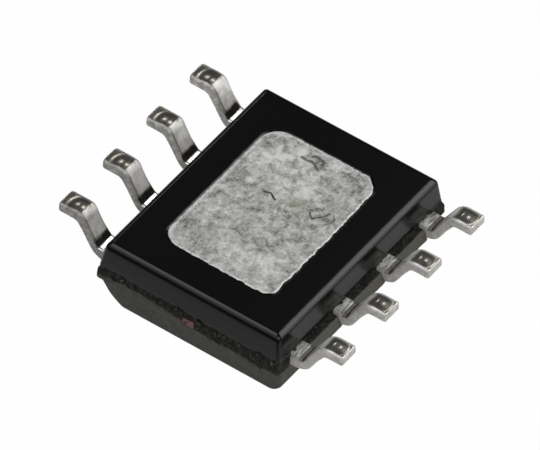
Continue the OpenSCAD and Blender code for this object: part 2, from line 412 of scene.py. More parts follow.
for share, finish in ((matte, eroded), (broken, crumbs), (sheared, torn)):
    colour = add(tree, "ShaderNodeMix", {0: share, 6: colour, 7: finish},
                 data_type="RGBA").outputs[2]
print("epoxy colours:", len(tree.nodes), "nodes")

# %% [markdown]
# The gloss follows the same values. The face round the pad is the most polished, and
# the slanted sides below it a little less. The grain is bump on the rough parts alone.

# %% Epoxy gloss and grain
FACE_GLOSS, SIDE_GLOSS, ERODED_GLOSS, BROKEN_GLOSS = 0.12, 0.19, 0.55, 0.8
height = add(tree, "ShaderNodeSeparateXYZ", {0: place}).outputs["Z"]
gloss = add(tree, "ShaderNodeMapRange", {"Value": height, "From Min": (TOP - 0.004) * MM,
            "From Max": (TOP - 0.03) * MM, "To Min": FACE_GLOSS, "To Max": SIDE_GLOSS})
gloss = add(tree, "ShaderNodeMix", {0: matte, 2: gloss, 3: ERODED_GLOSS})
gloss = add(tree, "ShaderNodeMix", {0: broken, 2: gloss, 3: BROKEN_GLOSS})
rough_share = add(tree, "ShaderNodeMath", {0: matte, 1: broken}, operation="MAXIMUM")
grit = add(tree, "ShaderNodeMath", {0: specks, 1: rough_share}, operation="MULTIPLY")
bump = add(tree, "ShaderNodeBump", {"Height": grit, "Strength": 0.6, "Distance": 0.008 * MM})
resin = add(tree, "ShaderNodeBsdfPrincipled", {"Base Color": colour, "Roughness": gloss,
            "IOR": 1.55, "Specular IOR Level": 0.3, "Normal": bump})
add(tree, "ShaderNodeOutputMaterial", {"Surface": resin})
print("epoxy:", len(tree.nodes), "nodes")

# %% [markdown]
# ## The moulded body
# The moulding is one block: a half that leans in by 15 degrees towards the marked face, a
# half that leans in by 7.5 degrees towards the pad, and a thin ledge between them. It is
# lofted from rings, because a loft keeps the leans, the round edges and the opening for the
# pad in one closed skin, and its dense points can carry the broken flash.

# %% Sizes and rings of the body
PAD_ANGLE = math.radians(7.5)
MARKED_LEAN, PAD_LEAN = math.tan(math.radians(15)), math.tan(PAD_ANGLE)
INSET = 0.015                 # the halves stand back from the ledge by this much
EDGE = 0.11                   # radius of the edges round the face with the pad
EDGE_STEPS = 12
BEVEL, BEVEL_TOP = 0.13, 0.36            # the bevel beside lead 1, and where it ends
MARKED_SHIFT = 0.02           # how far the matte half stands out beside leads 5 to 8
PAD_SHIFT_IN, PAD_SHIFT_OUT = 0.029, 0.022   # the glossy half leans towards leads 5 to 8
PAD = (-1.172, 1.184, -1.652, 1.652)     # the sides of the opening, low and high
PAD_CORNER = (0.36, 0.37, 0.37, 0.22)


def body_ring(inset, corner, z, bevel=0.0, shift=0.0):
    """A ring of the body. bevel moves the side of lead 1 in, and shift moves the other long
    side out and, on the half with the pad, the far short side in by 0.6 of it."""
    far_in = 0.6 * max(0, shift - 0.001) * (z > LEDGE[1])
    return ring(-HALF_X + inset + bevel, HALF_X - inset + shift, -HALF_Y + inset,
                HALF_Y - inset - far_in, corner, z)


def pad_ring(grow, z):
    """The wavy edge of the pad, which the resin closed in on, moved out by grow."""
    edge = ring(*PAD, PAD_CORNER, z)
    moved = []
    for i, p in enumerate(edge):
        along = (edge[(i + 1) % len(edge)] - edge[i - 1]).normalized()
        out = Vector((along.y, -along.x, 0))
        ragged = 0.5 + smooth_step(-0.9, 1.0, p.x)
        wave = (0.01 * wobble((p.x, p.y, 0), 0.35, 1)
                + 0.016 * ragged * wobble((p.x, p.y, 0), 0.11, 2)
                + 0.008 * ragged * wobble((p.x, p.y, 0), 0.045, 3)
                + 0.014 * smooth_step(1.6, 1.66, abs(p.y)) * math.cos(p.x * 1.3)
                - 0.035 * smooth_step(0.6, 1.3, p.y) * smooth_step(0.8, 1.1, p.x))
        moved.append(p + out * (wave + grow))
    return moved


print("the glossy half leans in by", round((TOP - LEDGE[1]) * PAD_LEAN, 3), "mm")

# %% [markdown]
# The stack starts inside the dimple by lead 1, which is a shallow cup pressed into the marked
# face, and climbs the matte half. A bevel along the side of lead 1 fades out on the way.

# %% The marked face, its dimple and the matte half
DIMPLE = Vector((-HALF_X + 0.85, -HALF_Y + 0.85, 0))
DIMPLE_R, DIMPLE_DEPTH = 0.28, 0.05
DIMPLE_BALL = (DIMPLE_R ** 2 + DIMPLE_DEPTH ** 2) / (2 * DIMPLE_DEPTH)   # radius of its cup
foot_ring = body_ring(INSET + LEDGE[0] * MARKED_LEAN + 0.05, 0.13, 0, BEVEL, MARKED_SHIFT)
angles = [math.atan2(p.y - DIMPLE.y, p.x - DIMPLE.x) for p in foot_ring]
rings = []
for r in (0.02, 0.08, 0.14, 0.2, 0.25, DIMPLE_R):
    depth = math.sqrt(DIMPLE_BALL ** 2 - r ** 2) - (DIMPLE_BALL - DIMPLE_DEPTH)
    rings.append([DIMPLE + Vector((r * math.cos(a), r * math.sin(a), max(0, depth)))
                  for a in angles])
rings.append(foot_ring)
rings.append(body_ring(INSET + (LEDGE[0] - 0.015) * MARKED_LEAN + 0.016, 0.15, 0.015, BEVEL,
                       MARKED_SHIFT))
for z in [0.05 + 0.66 * k / 21 for k in range(22)]:
    bevel = BEVEL * max(0, 1 - max(0, z - 0.03) / (BEVEL_TOP - 0.03)) ** 1.7
    rings.append(body_ring(INSET + (LEDGE[0] - z) * MARKED_LEAN, 0.16, z, bevel,
                           MARKED_SHIFT * (1 - z / LEDGE[0])))
print("rings of the matte half:", len(rings))

# %% [markdown]
# Then come the thin ledge, the glossy half with its round edge, the flat face, and the wall
# of the opening down to the back of the paddle.

# %% The ledge, the glossy half and the opening
rings += [body_ring(inset, corner, LEDGE[0] + rise) for inset, corner, rise in
          ((0.008, 0.10, 0.0), (0.002, 0.06, 0.003), (0, 0.05, 0.012))]
rings += [body_ring(0, 0.05, LEDGE[0] + 0.012 + 0.176 * k / 9) for k in range(1, 10)]
rings += [body_ring(inset, corner, LEDGE[1] + rise) for inset, corner, rise in
          ((0.002, 0.06, -0.003), (0.008, 0.07, 0.0), (0.014, 0.07, 0.002))]
wall_foot, wall_top = 0.915, TOP - EDGE
for z in [wall_foot + (wall_top - wall_foot) * k / 20 for k in range(21)]:
    share = (z - wall_foot) / (wall_top - wall_foot)
    rings.append(body_ring(INSET + (z - LEDGE[1]) * PAD_LEAN, 0.07, z, PAD_SHIFT_IN * share,
                           PAD_SHIFT_OUT * share))
wall_in = INSET + (wall_top - LEDGE[1]) * PAD_LEAN
for k in range(1, EDGE_STEPS + 1):
    angle = PAD_ANGLE + (math.pi / 2 - PAD_ANGLE) * k / EDGE_STEPS
    step = EDGE * (math.cos(PAD_ANGLE) - math.cos(angle))
    rings.append(body_ring(wall_in + step, 0.07 - 0.4 * step,
                           wall_top + EDGE * (math.sin(angle) - math.sin(PAD_ANGLE)),
                           PAD_SHIFT_IN, PAD_SHIFT_OUT))
# The round edge ends a little low, so it is stretched up to the face.
lift = TOP - rings[-1][0].z
for one in rings[-EDGE_STEPS:]:
    for p in one:
        p.z += lift * (p.z - wall_top) / (TOP - lift - wall_top)
outer, inner = rings[-1], pad_ring(0.006, TOP)
rings += [[a.lerp(b, t) for a, b in zip(outer, inner)] for t in (0.03, 0.25, 0.5, 0.75, 0.95)]
rings += [inner, pad_ring(0.0, TOP - 0.006), pad_ring(0.0, TOP - 0.08),
          pad_ring(0.0, TOP - SHEET)]
print("rings of the body:", len(rings), "with", len(rings[0]), "points each")

# %% [markdown]
# ## The broken flash
# The broken band follows the ledge. On the front its edges stray further, where more flash
# came away: the upper one rises and dips, and the lower one falls towards lead 8. Elsewhere
# they stay near the ledge, and a nub of flash is left beside lead 5. Points between the edges
# are pushed in by noise, so the body keeps its size, and their share of breakage is stored
# on them for the material to read.

# %% Edges of the broken band
FRONT_UPPER = [(-1.95, 1.0), (-1.75, 1.02), (-1.44, 1.03), (-0.8, 1.0), (-0.16, 1.02),
               (0.48, 0.98), (1.12, 0.965), (1.54, 1.02), (1.9, 0.98)]
FRONT_LOWER = [(-1.95, 0.80), (-1.4, 0.88), (-0.8, 0.86), (0.1, 0.76), (0.48, 0.68),
               (1.54, 0.66), (1.9, 0.71)]
OTHER_UPPER, OTHER_LOWER = 1.0, 0.69


def band_edges(p):
    """Heights of the upper and the lower edge of the broken band near a point."""
    on_front = p.y < -HALF_Y + 0.12
    upper = between(FRONT_UPPER, p.x) if on_front else OTHER_UPPER
    lower = between(FRONT_LOWER, p.x) if on_front else OTHER_LOWER
    steady = 0.4 if on_front and p.x < -0.2 else 1.0
    upper += steady * (0.035 * wobble(p, 0.16, 4) + 0.02 * wobble(p, 0.05, 5))
    ragged = 1.0 + 0.8 * smooth_step(-0.3, 0.3, p.x)
    lower += ragged * (0.03 * wobble(p, 0.12, 6) + 0.03 * wobble(p, 0.05, 7))
    return upper, lower


print("edges of the band in the middle of the front:",
      [round(z, 3) for z in band_edges(Vector((0, -HALF_Y, LEDGE[1])))])

# %% Break the flash along the parting line
NUB = 0.06                    # how far the nub of flash by lead 5 stands out
broken_share, matte_share = [], []
for p in (p for one in rings for p in one):
    upper, lower = band_edges(p)
    matte_share.append(1 - smooth_step(lower - 0.01, lower + 0.02, p.z))
    # Far above and below the band nothing is broken.
    if p.z < 0.4 or p.z > 1.4:
        broken_share.append(0.0)
        continue
    share = smooth_step(lower - 0.015, lower + 0.015, p.z) * (
        1 - smooth_step(upper - 0.03, upper + 0.03, p.z))
    broken_share.append(share)
    bite = 0.008 + 0.022 * abs(wobble(p, 0.07, 8)) + 0.012 * abs(wobble(p, 0.03, 9))
    out = Vector((max(0, abs(p.x) - HALF_X + 0.3) * math.copysign(1, p.x),
                  max(0, abs(p.y) - HALF_Y + 0.3) * math.copysign(1, p.y), 0))
    p -= out.normalized() * share * bite
    # The nub stands at the far end of the right side.
    if p.x > 1.85:
        p.x += NUB * smooth_step(1.95, 2.1, p.y) * (1 - smooth_step(2.38, 2.44, p.y)) * (
            smooth_step(0.68, 0.74, p.z) * (1 - smooth_step(0.9, 1.06, p.z)))
points, faces = loft(rings)
# The loft ends with the middles of its two end faces: the marked face and under the pad.
broken_share += [0.0, 0.0]
matte_share += [1.0, 0.0]
# On the front, the strip of matte resin next to the band is a little paler.
sheared_share = [0.18 * m * (p.y < -HALF_Y + 0.1 and p.z > 0.68)
                 for p, m in zip(points, matte_share)]
print("points in the broken band:", sum(share > 0.5 for share in broken_share))

# %% [markdown]
# ## Resin stubs
# Between the leads the resin also filled the gaps up to the bar that tied them together.
# The press that cut the bar away broke these stubs off on a slant, and their faces are
# rough. Each is a small closed prism with noise on its skin, joined to the body's mesh.

# %% Resin stubs between the leads
STUB_SECTION = [(1.86, 0.712), (2.0, 0.712), (2.06, 0.712), (2.13, 0.715), (2.11, 0.765),
                (2.09, 0.815), (2.07, 0.86), (2.05, 0.908), (2.02, 0.912), (1.98, 0.912),
                (1.94, 0.912), (1.86, 0.912)]
STUB_STEPS = 44
STUB_HALF = (PITCH - LEAD_WIDTH) / 2
SLANT_FROM = 2.03             # the points of the section past here lie on the broken slant


def add_stub(side, middle):
    """One stub of resin between two leads, from a grid round its four-sided section."""
    base = len(points)
    for k in range(STUB_STEPS + 1):
        y = middle - STUB_HALF + 2 * STUB_HALF * k / STUB_STEPS
        for x, z in STUB_SECTION:
            p = Vector((side * x, y, z))
            if x > 1.9:
                rough = 0.014 * wobble(p, 0.09, 10) + 0.009 * wobble(p, 0.035, 11)
                rough *= 0.35 if x > SLANT_FROM else 1.0
                p.x -= side * (0.006 + rough)
                p.z += 0.6 * rough - 0.006
            points.append(p)
            broken_share.append(1.0)
            matte_share.append(0.0)
            sheared_share.append(1.0 if x > SLANT_FROM else 0.0)
    close_tube(faces, base, len(STUB_SECTION), STUB_STEPS + 1, -side)


for side in (-1, 1):
    for middle in (-PITCH, 0, PITCH):
        add_stub(side, middle)
print("points of the body with its stubs:", len(points))

# %% [markdown]
# The points and faces become one mesh object. Three values are stored on each point, under
# the names that the material reads: how broken, how matte and how sheared the resin is.

# %% The body as an object
def make_piece(name, points, faces, materials, attributes):
    """A mesh object from points in millimetres, with named values on its points."""
    mesh = bpy.data.meshes.new(name)
    mesh.from_pydata([p * MM for p in points], [], faces)
    for label, values in attributes.items():
        layer = mesh.attributes.new(label, "FLOAT", "POINT")
        layer.data.foreach_set("value", values)
    for material in materials:
        mesh.materials.append(material)
    mesh.shade_smooth()
    mesh.update()
    piece = bpy.data.objects.new(name, mesh)
    bpy.context.collection.objects.link(piece)
    return piece


body = make_piece("moulded_body", points, faces, [epoxy],
                  {"broken": broken_share, "matte": matte_share, "sheared": sheared_share})
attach(body, "root")
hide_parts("body")
print("body:", len(body.data.polygons), "faces")

# %% [markdown]
# ## Finish: tinned copper of the pad
# The bare face of the paddle is copper under a thin coat of tin. It has been handled and
# tested: the coat is mottled, with fine light scratches, pale veins and darker stains. Its
# raised rim is painted paler, as a painted highlight of the light the rim catches. The
# strokes, the clouds and the rim are stored on the points, and noise adds what is finer.

# %% Pad: mottled coat and scratches
pad_tin, tree = new_material("worn_tin_plate")
place = add(tree, "ShaderNodeTexCoord").outputs["Object"]
stain, rim, cloud = (add(tree, "ShaderNodeAttribute", attribute_name=label).outputs["Fac"]
                     for label in ("stain", "rim", "cloud"))
# Large clouds of handling, spots of worn plating, and crystals drawn as grains of 0.03 mm.
tone = 0.0
for size_mm, share in ((0.4, 0.25), (0.15, 0.5), (0.05, 0.25)):
    spots = add(tree, "ShaderNodeTexNoise", {"Vector": place, "Scale": per_mm(size_mm),
                "Detail": 3.0, "Roughness": 0.55, "Distortion": 0.6})
    tone = add(tree, "ShaderNodeMath", {0: spots, 1: share, 2: tone},
               operation="MULTIPLY_ADD")
clouded = add(tree, "ShaderNodeMath", {0: cloud, 1: -0.3, 2: tone}, operation="MULTIPLY_ADD")
plate = add(tree, "ShaderNodeValToRGB", {"Fac": clouded})
set_stops(plate, (0.36, "#5e5d56"), (0.47, "#a3a29b"), (0.63, "#e9e8e2"))
# Wiping left thin scratches in two directions.
FRESH_TIN = linear("#dddcd7")
colour = plate.outputs[0]
for turn, cover in ((0.7, 0.45), (-0.5, 0.3)):
    turned = add(tree, "ShaderNodeMapping", {"Vector": place, "Rotation": (0, 0, turn),
                 "Scale": (1, 0.07, 1)})
    lines = add(tree, "ShaderNodeTexNoise", {"Vector": turned, "Scale": per_mm(0.035),
                "Detail": 2.0})
    lines = add(tree, "ShaderNodeMapRange", {"Value": lines, "From Min": 0.58,
                "From Max": 0.74, "To Max": cover})
    colour = add(tree, "ShaderNodeMix", {0: lines, 6: colour, 7: FRESH_TIN},
                 data_type="RGBA").outputs[2]
print("pad so far:", len(tree.nodes), "nodes")

# %% [markdown]
# The coat froze in pale veins, where one patch of tin met the next. A vein is drawn where a
# noise passes its middle value, so it is thin and has no loose ends. Over the veins come a dried
# drop of flux, the painted highlight of the rim, and the dark stains, each as one more mix of
# colour.

# %% Pad: veins, flux, rim and stains
for size_mm, thin in ((0.3, 0.018), (0.17, 0.03), (0.1, 0.04)):
    veins = add(tree, "ShaderNodeTexNoise", {"Vector": place, "Scale": per_mm(size_mm),
                "Detail": 3.0, "Roughness": 0.55, "Distortion": 1.2})
    veins = add(tree, "ShaderNodeMath", {0: veins, 1: 0.5}, operation="SUBTRACT")
    veins = add(tree, "ShaderNodeMath", {0: veins}, operation="ABSOLUTE")
    veins = add(tree, "ShaderNodeMapRange", {"Value": veins, "From Min": thin,
                "From Max": 0.0, "To Max": 0.45})
    colour = add(tree, "ShaderNodeMix", {0: veins, 6: colour, 7: FRESH_TIN},
                 data_type="RGBA").outputs[2]
FLUX_SPOT = Vector((0.265, 0.354, TOP)) * MM
from_flux = add(tree, "ShaderNodeVectorMath", {0: place, 1: FLUX_SPOT},
                operation="DISTANCE").outputs["Value"]
flux = add(tree, "ShaderNodeMapRange", {"Value": from_flux, "From Min": 0.22 * MM,
           "From Max": 0.05 * MM, "To Max": 0.5})
rim_highlight_breakup = add(tree, "ShaderNodeTexNoise", {"Vector": place, "Scale": per_mm(0.06),
              "Detail": 3.0})
rim_highlight_breakup = add(tree, "ShaderNodeMapRange", {"Value": rim_highlight_breakup, "From Min": 0.36,
              "From Max": 0.6, "To Min": 0.15, "To Max": 0.9})
# Painted highlight: the raised rim is painted paler, broken up by noise.
pale = add(tree, "ShaderNodeMath", {0: rim, 1: rim_highlight_breakup}, operation="MULTIPLY")
dark = add(tree, "ShaderNodeMath", {0: stain, 1: 1.3}, operation="MULTIPLY")
for share, shade in ((flux, "#8b8a68"), (pale, "#ecebe5"), (dark, "#33332e")):
    colour = add(tree, "ShaderNodeMix", {0: share, 6: colour, 7: linear(shade)},
                 data_type="RGBA").outputs[2]
gloss = add(tree, "ShaderNodeMapRange", {"Value": tone, "From Min": 0.35, "From Max": 0.65,
            "To Min": 0.45, "To Max": 0.65})
bump = add(tree, "ShaderNodeBump", {"Height": tone, "Strength": 0.6, "Distance": 0.01 * MM})
metal = add(tree, "ShaderNodeBsdfPrincipled", {"Base Color": colour, "Metallic": 0.5,
            "Roughness": gloss, "Normal": bump})
add(tree, "ShaderNodeOutputMaterial", {"Surface": metal})
print("pad:", len(tree.nodes), "nodes")

# %% [markdown]
# ## Finishes with one noise
# The sheared end of a tie bar shows bare copper, and the parts sealed in the resin are plain
# silicon, solder and gold. One spot pattern each, in colour and relief, is enough for them.

# %% Copper of the tie bars
def mottled_finish(name, low, high, size_mm, metallic, rough, strength=0.3, relief=0.002):
    """A material whose colour and height follow one noise, with relief in millimetres."""
    material, tree = new_material(name)
    place = add(tree, "ShaderNodeTexCoord").outputs["Object"]
    spots = add(tree, "ShaderNodeTexNoise", {"Vector": place, "Scale": per_mm(size_mm),
                "Detail": 3.0})
    colour = add(tree, "ShaderNodeMix", {0: spots, 6: linear(low), 7: linear(high)},
                 data_type="RGBA").outputs[2]
    bump = add(tree, "ShaderNodeBump", {"Height": spots, "Strength": strength,
               "Distance": relief * MM})
    skin = add(tree, "ShaderNodeBsdfPrincipled", {"Base Color": colour,
               "Metallic": metallic, "Roughness": rough, "Normal": bump})
    add(tree, "ShaderNodeOutputMaterial", {"Surface": skin})
    return material


copper = mottled_finish("sheared_copper", "#5c3a3e", "#a3747a", 0.05, 0.6, 0.5, 0.5, 0.006)
print("finish:", copper.name)

# %% [markdown]
# ## The die paddle
# The paddle fills the opening of the moulding. Its face is lofted from rings that shrink
# towards the middle, so that the raised rim, the dents and the scratches can be real relief
# of a few thousandths of a millimetre. Each dark stroke of wear is a short path in
# millimetres, and each cloud is a soft round spot, and noise breaks both up.

# %% Strokes of wear on the pad
STROKES = [  # the points of each stroke in millimetres, its half width and its strength
    ([(-0.38, 0.28), (-0.30, 0.31), (-0.25, 0.33), (-0.16, 0.27), (-0.10, 0.24)], 0.020, 0.8),
    ([(0.54, 0.38), (0.63, 0.28), (0.68, 0.25), (0.70, 0.31), (0.79, 0.39), (0.86, 0.53)],
     0.017, 0.7),
    ([(0.58, 0.50), (0.63, 0.53), (0.70, 0.52), (0.69, 0.59)], 0.017, 0.5),
    ([(0.94, 0.54), (0.99, 0.46), (0.99, 0.37), (0.95, 0.31), (0.92, 0.24)], 0.024, 0.5),
    ([(-0.32, 1.34), (-0.21, 1.33), (-0.11, 1.35), (-0.03, 1.32), (0.08, 1.25)], 0.036, 0.6),
    ([(-0.17, 1.45), (-0.14, 1.50), (-0.04, 1.49), (0.08, 1.46), (0.07, 1.39)], 0.032, 0.6),
    ([(0.28, -0.05), (0.35, -0.06), (0.43, -0.11)], 0.018, 0.4),
    ([(0.14, 0.14), (0.20, 0.12), (0.25, 0.08)], 0.016, 0.4),
    ([(0.20, -0.76), (0.32, -0.84), (0.43, -0.88), (0.53, -0.83)], 0.016, 0.3),
    ([(0.34, -0.62), (0.45, -0.72), (0.54, -0.82)], 0.016, 0.25),
    ([(0.44, 1.47), (0.53, 1.47), (0.59, 1.52)], 0.022, 0.45),
    ([(0.61, 1.47), (0.76, 1.47), (0.93, 1.36)], 0.035, 0.3),
    ([(-0.03, 0.58), (-0.15, 0.57), (-0.27, 0.66)], 0.016, 0.2),
    ([(0.42, 0.26), (0.46, 0.32)], 0.016, 0.4),
]


def stroke_share(x, y):
    """How strongly the strokes of wear darken a spot of the pad."""
    total = 0.0
    x, y = x + 0.012 * wobble((x, y, 0), 0.06, 13), y + 0.012 * wobble((x, y, 0), 0.06, 14)
    for path_points, half, strength in STROKES:
        for a, b in zip(path_points, path_points[1:]):
            ax, ay, bx, by = *a, *b
            length = (bx - ax) ** 2 + (by - ay) ** 2
            t = min(1, max(0, ((x - ax) * (bx - ax) + (y - ay) * (by - ay)) / length))
            gap = math.hypot(x - ax - t * (bx - ax), y - ay - t * (by - ay))
            total = max(total, strength * (1 - smooth_step(0.4 * half, 1.2 * half, gap)))
    return total


print("strokes:", len(STROKES))

# %% Clouds of wear on the pad
CLOUDS = [  # place, reach and strength of soft spots: above 0 darker, below 0 paler
    (-0.57, -1.31, 0.20, 0.22), (-0.31, -1.49, 0.10, 0.25), (-0.52, -0.03, 0.12, 0.22),
    (-0.33, -0.18, 0.12, 0.22), (0.94, -0.32, 0.10, 0.25), (-1.03, 0.26, 0.18, 0.20),
    (-1.00, 1.25, 0.14, 0.25), (0.25, 1.08, 0.16, 0.15), (-0.96, -0.16, 0.05, 0.30),
    (-0.03, -1.49, 0.05, 0.45), (0.54, -1.32, 0.06, 0.35), (0.59, 1.05, 0.16, 0.15),
    (-0.25, 1.60, 0.09, 0.35), (0.90, 1.28, 0.12, 0.20), (-1.03, -1.12, 0.14, 0.20),
    (-0.68, 1.33, 0.10, 0.15), (-0.64, -0.33, 0.20, 0.12), (-0.80, 1.00, 0.14, -0.30),
    (-0.28, 1.50, 0.16, -0.20), (0.62, -1.05, 0.14, -0.25), (0.13, 0.55, 0.07, -0.35),
    (0.25, 1.53, 0.14, -0.25), (-0.72, 0.35, 0.07, -0.25), (0.73, -0.62, 0.08, -0.25),
    (-0.48, 0.03, 0.08, -0.20), (-0.82, -0.67, 0.10, -0.12), (-0.03, 1.17, 0.12, -0.20),
    (-0.50, 1.05, 0.45, -0.22), (0.20, 0.85, 0.30, -0.20), (0.10, -1.15, 0.45, -0.10),
    (0.70, -1.20, 0.25, -0.15), (-0.85, 0.30, 0.30, 0.10), (0.05, 1.42, 0.13, 0.30),
    (0.75, 1.40, 0.12, 0.25), (0.80, 0.38, 0.14, 0.25), (0.55, -0.05, 0.08, 0.30),
    (0.30, 0.05, 0.20, 0.12), (-0.90, -1.20, 0.20, 0.12), (-0.02, 1.41, 0.06, 0.35),
    (0.10, 1.33, 0.05, 0.35), (0.92, 0.40, 0.06, 0.35), (0.60, 1.46, 0.06, 0.30),
]


def cloud_share(x, y):
    """How much darker or paler the soft spots make a place, broken up by noise."""
    total = sum(strength * math.exp(-((x - cx) ** 2 + (y - cy) ** 2) / reach ** 2)
                for cx, cy, reach, strength in CLOUDS)
    return total * (1 + 0.8 * wobble((x, y, 0), 0.09, 15))


print("clouds:", len(CLOUDS))

# %% Paddle face
FACE_STEPS = 58               # rings between the rim and the middle of the face
FACE_REACH = 1.16             # how far in from the rim the last ring lies
RIM_RISE, STROKE_DEPTH = 0.007, 0.004
rings = [pad_ring(0.004, TOP - SHEET), pad_ring(0.004, TOP - 0.02), pad_ring(0.003, TOP - 0.006)]
ring_size = len(rings[0])
stain_share, rim_share = [0.0] * (3 * ring_size), [1.0] * (3 * ring_size)
clouding = [0.0] * (3 * ring_size)
plain_edge, wavy_edge = ring(*PAD, PAD_CORNER, TOP), pad_ring(0, TOP)
for k in range(FACE_STEPS + 1):
    d = FACE_REACH * k / FACE_STEPS
    inner = ring(PAD[0] + d, PAD[1] - d, PAD[2] + d, PAD[3] - d,
                 tuple(max(r - d, 0.004) for r in PAD_CORNER), TOP)
    fade = 1 - smooth_step(0, 0.3, d)
    one = []
    for p, plain, wavy in zip(inner, plain_edge, wavy_edge):
        q = p + (wavy - plain) * fade
        rise = RIM_RISE * smooth_step(0, 0.012, d) * (1 - smooth_step(0.025, 0.06, d))
        rise += 0.002 * wobble((q.x, q.y, 0), 0.2, 12) - 0.002
        worn = stroke_share(q.x, q.y)
        q.z = TOP + rise - STROKE_DEPTH * worn
        stain_share.append(worn)
        clouding.append(cloud_share(q.x, q.y))
        wide = 0.055 + 0.025 * wobble((q.x, q.y, 0), 0.1, 16)
        rim_share.append(1 - smooth_step(0.4 * wide, wide, d))
        one.append(q)
    rings.append(one)
points, faces = loft(rings)
face_count = len(faces)
print("paddle face:", len(rings), "rings,", face_count, "faces")

# %% [markdown]
# The two tie bars held the paddle in the strip of leads while the resin was moulded. They
# were sheared off at the parting line, so each shows one copper end. They are closed tubes
# in the paddle's own mesh, with the second material.

# %% Tie bars
BAR_HALF_WIDTH, BAR_HALF_HEIGHT = 0.12, 0.068
BAR_STEPS = 20
BAR_SHIFT, BAR_HEIGHT = 0.02, 0.79
# Places along the bar, and the size of its section there: the sheared end is a bit smaller.
BAR_PLACES = [(1.95, 1), (2.2, 1), (2.43, 1), (2.444, 0.97), (2.449, 0.85)]


def squared(value, half):
    """A value held between minus half and half, which squares a round section."""
    return math.copysign(min(half, abs(value)), value)


turns = [math.tau * i / BAR_STEPS for i in range(BAR_STEPS)]
section = [Vector((squared(0.16 * math.cos(a), BAR_HALF_WIDTH), 0,
                   squared(0.09 * math.sin(a), BAR_HALF_HEIGHT))) for a in turns]
for end in (-1, 1):
    base = len(points)
    for y, share in BAR_PLACES:
        points += [Vector((p.x * share + BAR_SHIFT, end * y, p.z * share + BAR_HEIGHT))
                   for p in section]
    close_tube(faces, base, BAR_STEPS, len(BAR_PLACES), end)
# The points that the loft and the bars added are clean.
for values in (stain_share, rim_share, clouding):
    values += [0.0] * (len(points) - len(values))
paddle = make_piece("paddle_and_tie_bars", points, faces, [pad_tin, copper],
                    {"stain": stain_share, "rim": rim_share, "cloud": clouding})
for face in paddle.data.polygons[face_count:]:
    face.material_index = 1
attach(paddle, "root")
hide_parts("die_paddle")
print("paddle:", len(paddle.data.polygons), "faces")

# %% [markdown]
# ## Finish: tinned leads
# The leads are copper alloy, plated with matte tin and then trimmed and bent in a press.
# Matte tin is rough on a fine scale, so it shines softly. The tools left the shoulders
# scraped, burnished the lower bends and the soles dark and smooth, and tore the sides. A
# near-white strip beside the body in the left row is a painted highlight. Three values stored
# on the mesh tell the material where it is: the distance along the lead, how far a spot
# faces up from the sheet, and how far it lies on a cut side.

# %% Where on the lead: places and tone
WANDER = 0.12                 # how far the borders of the zones stray, in millimetres
lead_tin, tree = new_material("matte_tin_plate")
place = add(tree, "ShaderNodeTexCoord").outputs["Object"]
along, upper, cut = (add(tree, "ShaderNodeAttribute", attribute_name=label).outputs["Fac"]
                     for label in ("along", "upper", "cut"))
mottle = add(tree, "ShaderNodeTexNoise", {"Vector": place, "Scale": per_mm(0.14), "Detail": 5.0,
             "Roughness": 0.6})
# Tin crystals are a few microns; they are drawn as grains of 0.03 mm.
fine = add(tree, "ShaderNodeTexNoise", {"Vector": place, "Scale": per_mm(0.03), "Detail": 3.0,
           "Roughness": 0.6})
tone = add(tree, "ShaderNodeMath", {0: mottle, 1: 0.6}, operation="MULTIPLY")
tone = add(tree, "ShaderNodeMath", {0: fine, 1: 0.4, 2: tone}, operation="MULTIPLY_ADD")
wander = add(tree, "ShaderNodeMath", {0: mottle, 1: WANDER, 2: along},
             operation="MULTIPLY_ADD")
print("lead so far:", len(tree.nodes), "nodes")

# %% [markdown]
# A zone is a stretch of the upper face between two distances along the lead. Noise shifts
# its borders a little, so that no border is a straight line.

# %% Zones of the lead
def zone(start, end, soft=0.03, late=0.0):
    """1 on the upper face from one distance along the lead to another, 0 elsewhere."""
    start, end = start + WANDER / 2, end + WANDER / 2
    drift = add(tree, "ShaderNodeMath", {0: wander, 1: late}, operation="SUBTRACT")
    rise = add(tree, "ShaderNodeMapRange", {"Value": drift, "From Min": start - soft,
               "From Max": start + soft})
    fall = add(tree, "ShaderNodeMapRange", {"Value": drift, "From Min": end + soft,
               "From Max": end - soft})
    inside = add(tree, "ShaderNodeMath", {0: rise, 1: fall}, operation="MULTIPLY")
    return add(tree, "ShaderNodeMath", {0: inside, 1: upper}, operation="MULTIPLY")


spot = add(tree, "ShaderNodeSeparateXYZ", {0: place}).outputs
right_row = add(tree, "ShaderNodeMapRange", {"Value": spot["X"], "From Min": -MM,
                "From Max": MM})
# In the right row the pressed sole starts a little further out.
later = add(tree, "ShaderNodeMath", {0: right_row, 1: 0.03}, operation="MULTIPLY")
bend, pressed = zone(0.74, 1.03), zone(1.52, 3.0, late=later)
away = add(tree, "ShaderNodeMath", {0: 1.0, 1: cut}, operation="SUBTRACT")
sole = add(tree, "ShaderNodeMath", {0: pressed, 1: away}, operation="MULTIPLY")
burnished = add(tree, "ShaderNodeMath", {0: bend, 1: sole}, operation="MAXIMUM")
shoulder, upper_riser, riser = zone(0.0, 0.84), zone(1.27, 1.52, 0.09), zone(0.95, 1.5, 0.06)
# Painted highlight: a near-white strip beside the body, in the left row alone.
painted_highlight_strip = add(tree, "ShaderNodeMapRange", {"Value": right_row, "From Min": 1.0,
             "From Max": 0.0, "To Max": zone(0.705, 0.855, 0.015)})
print("lead so far:", len(tree.nodes), "nodes")
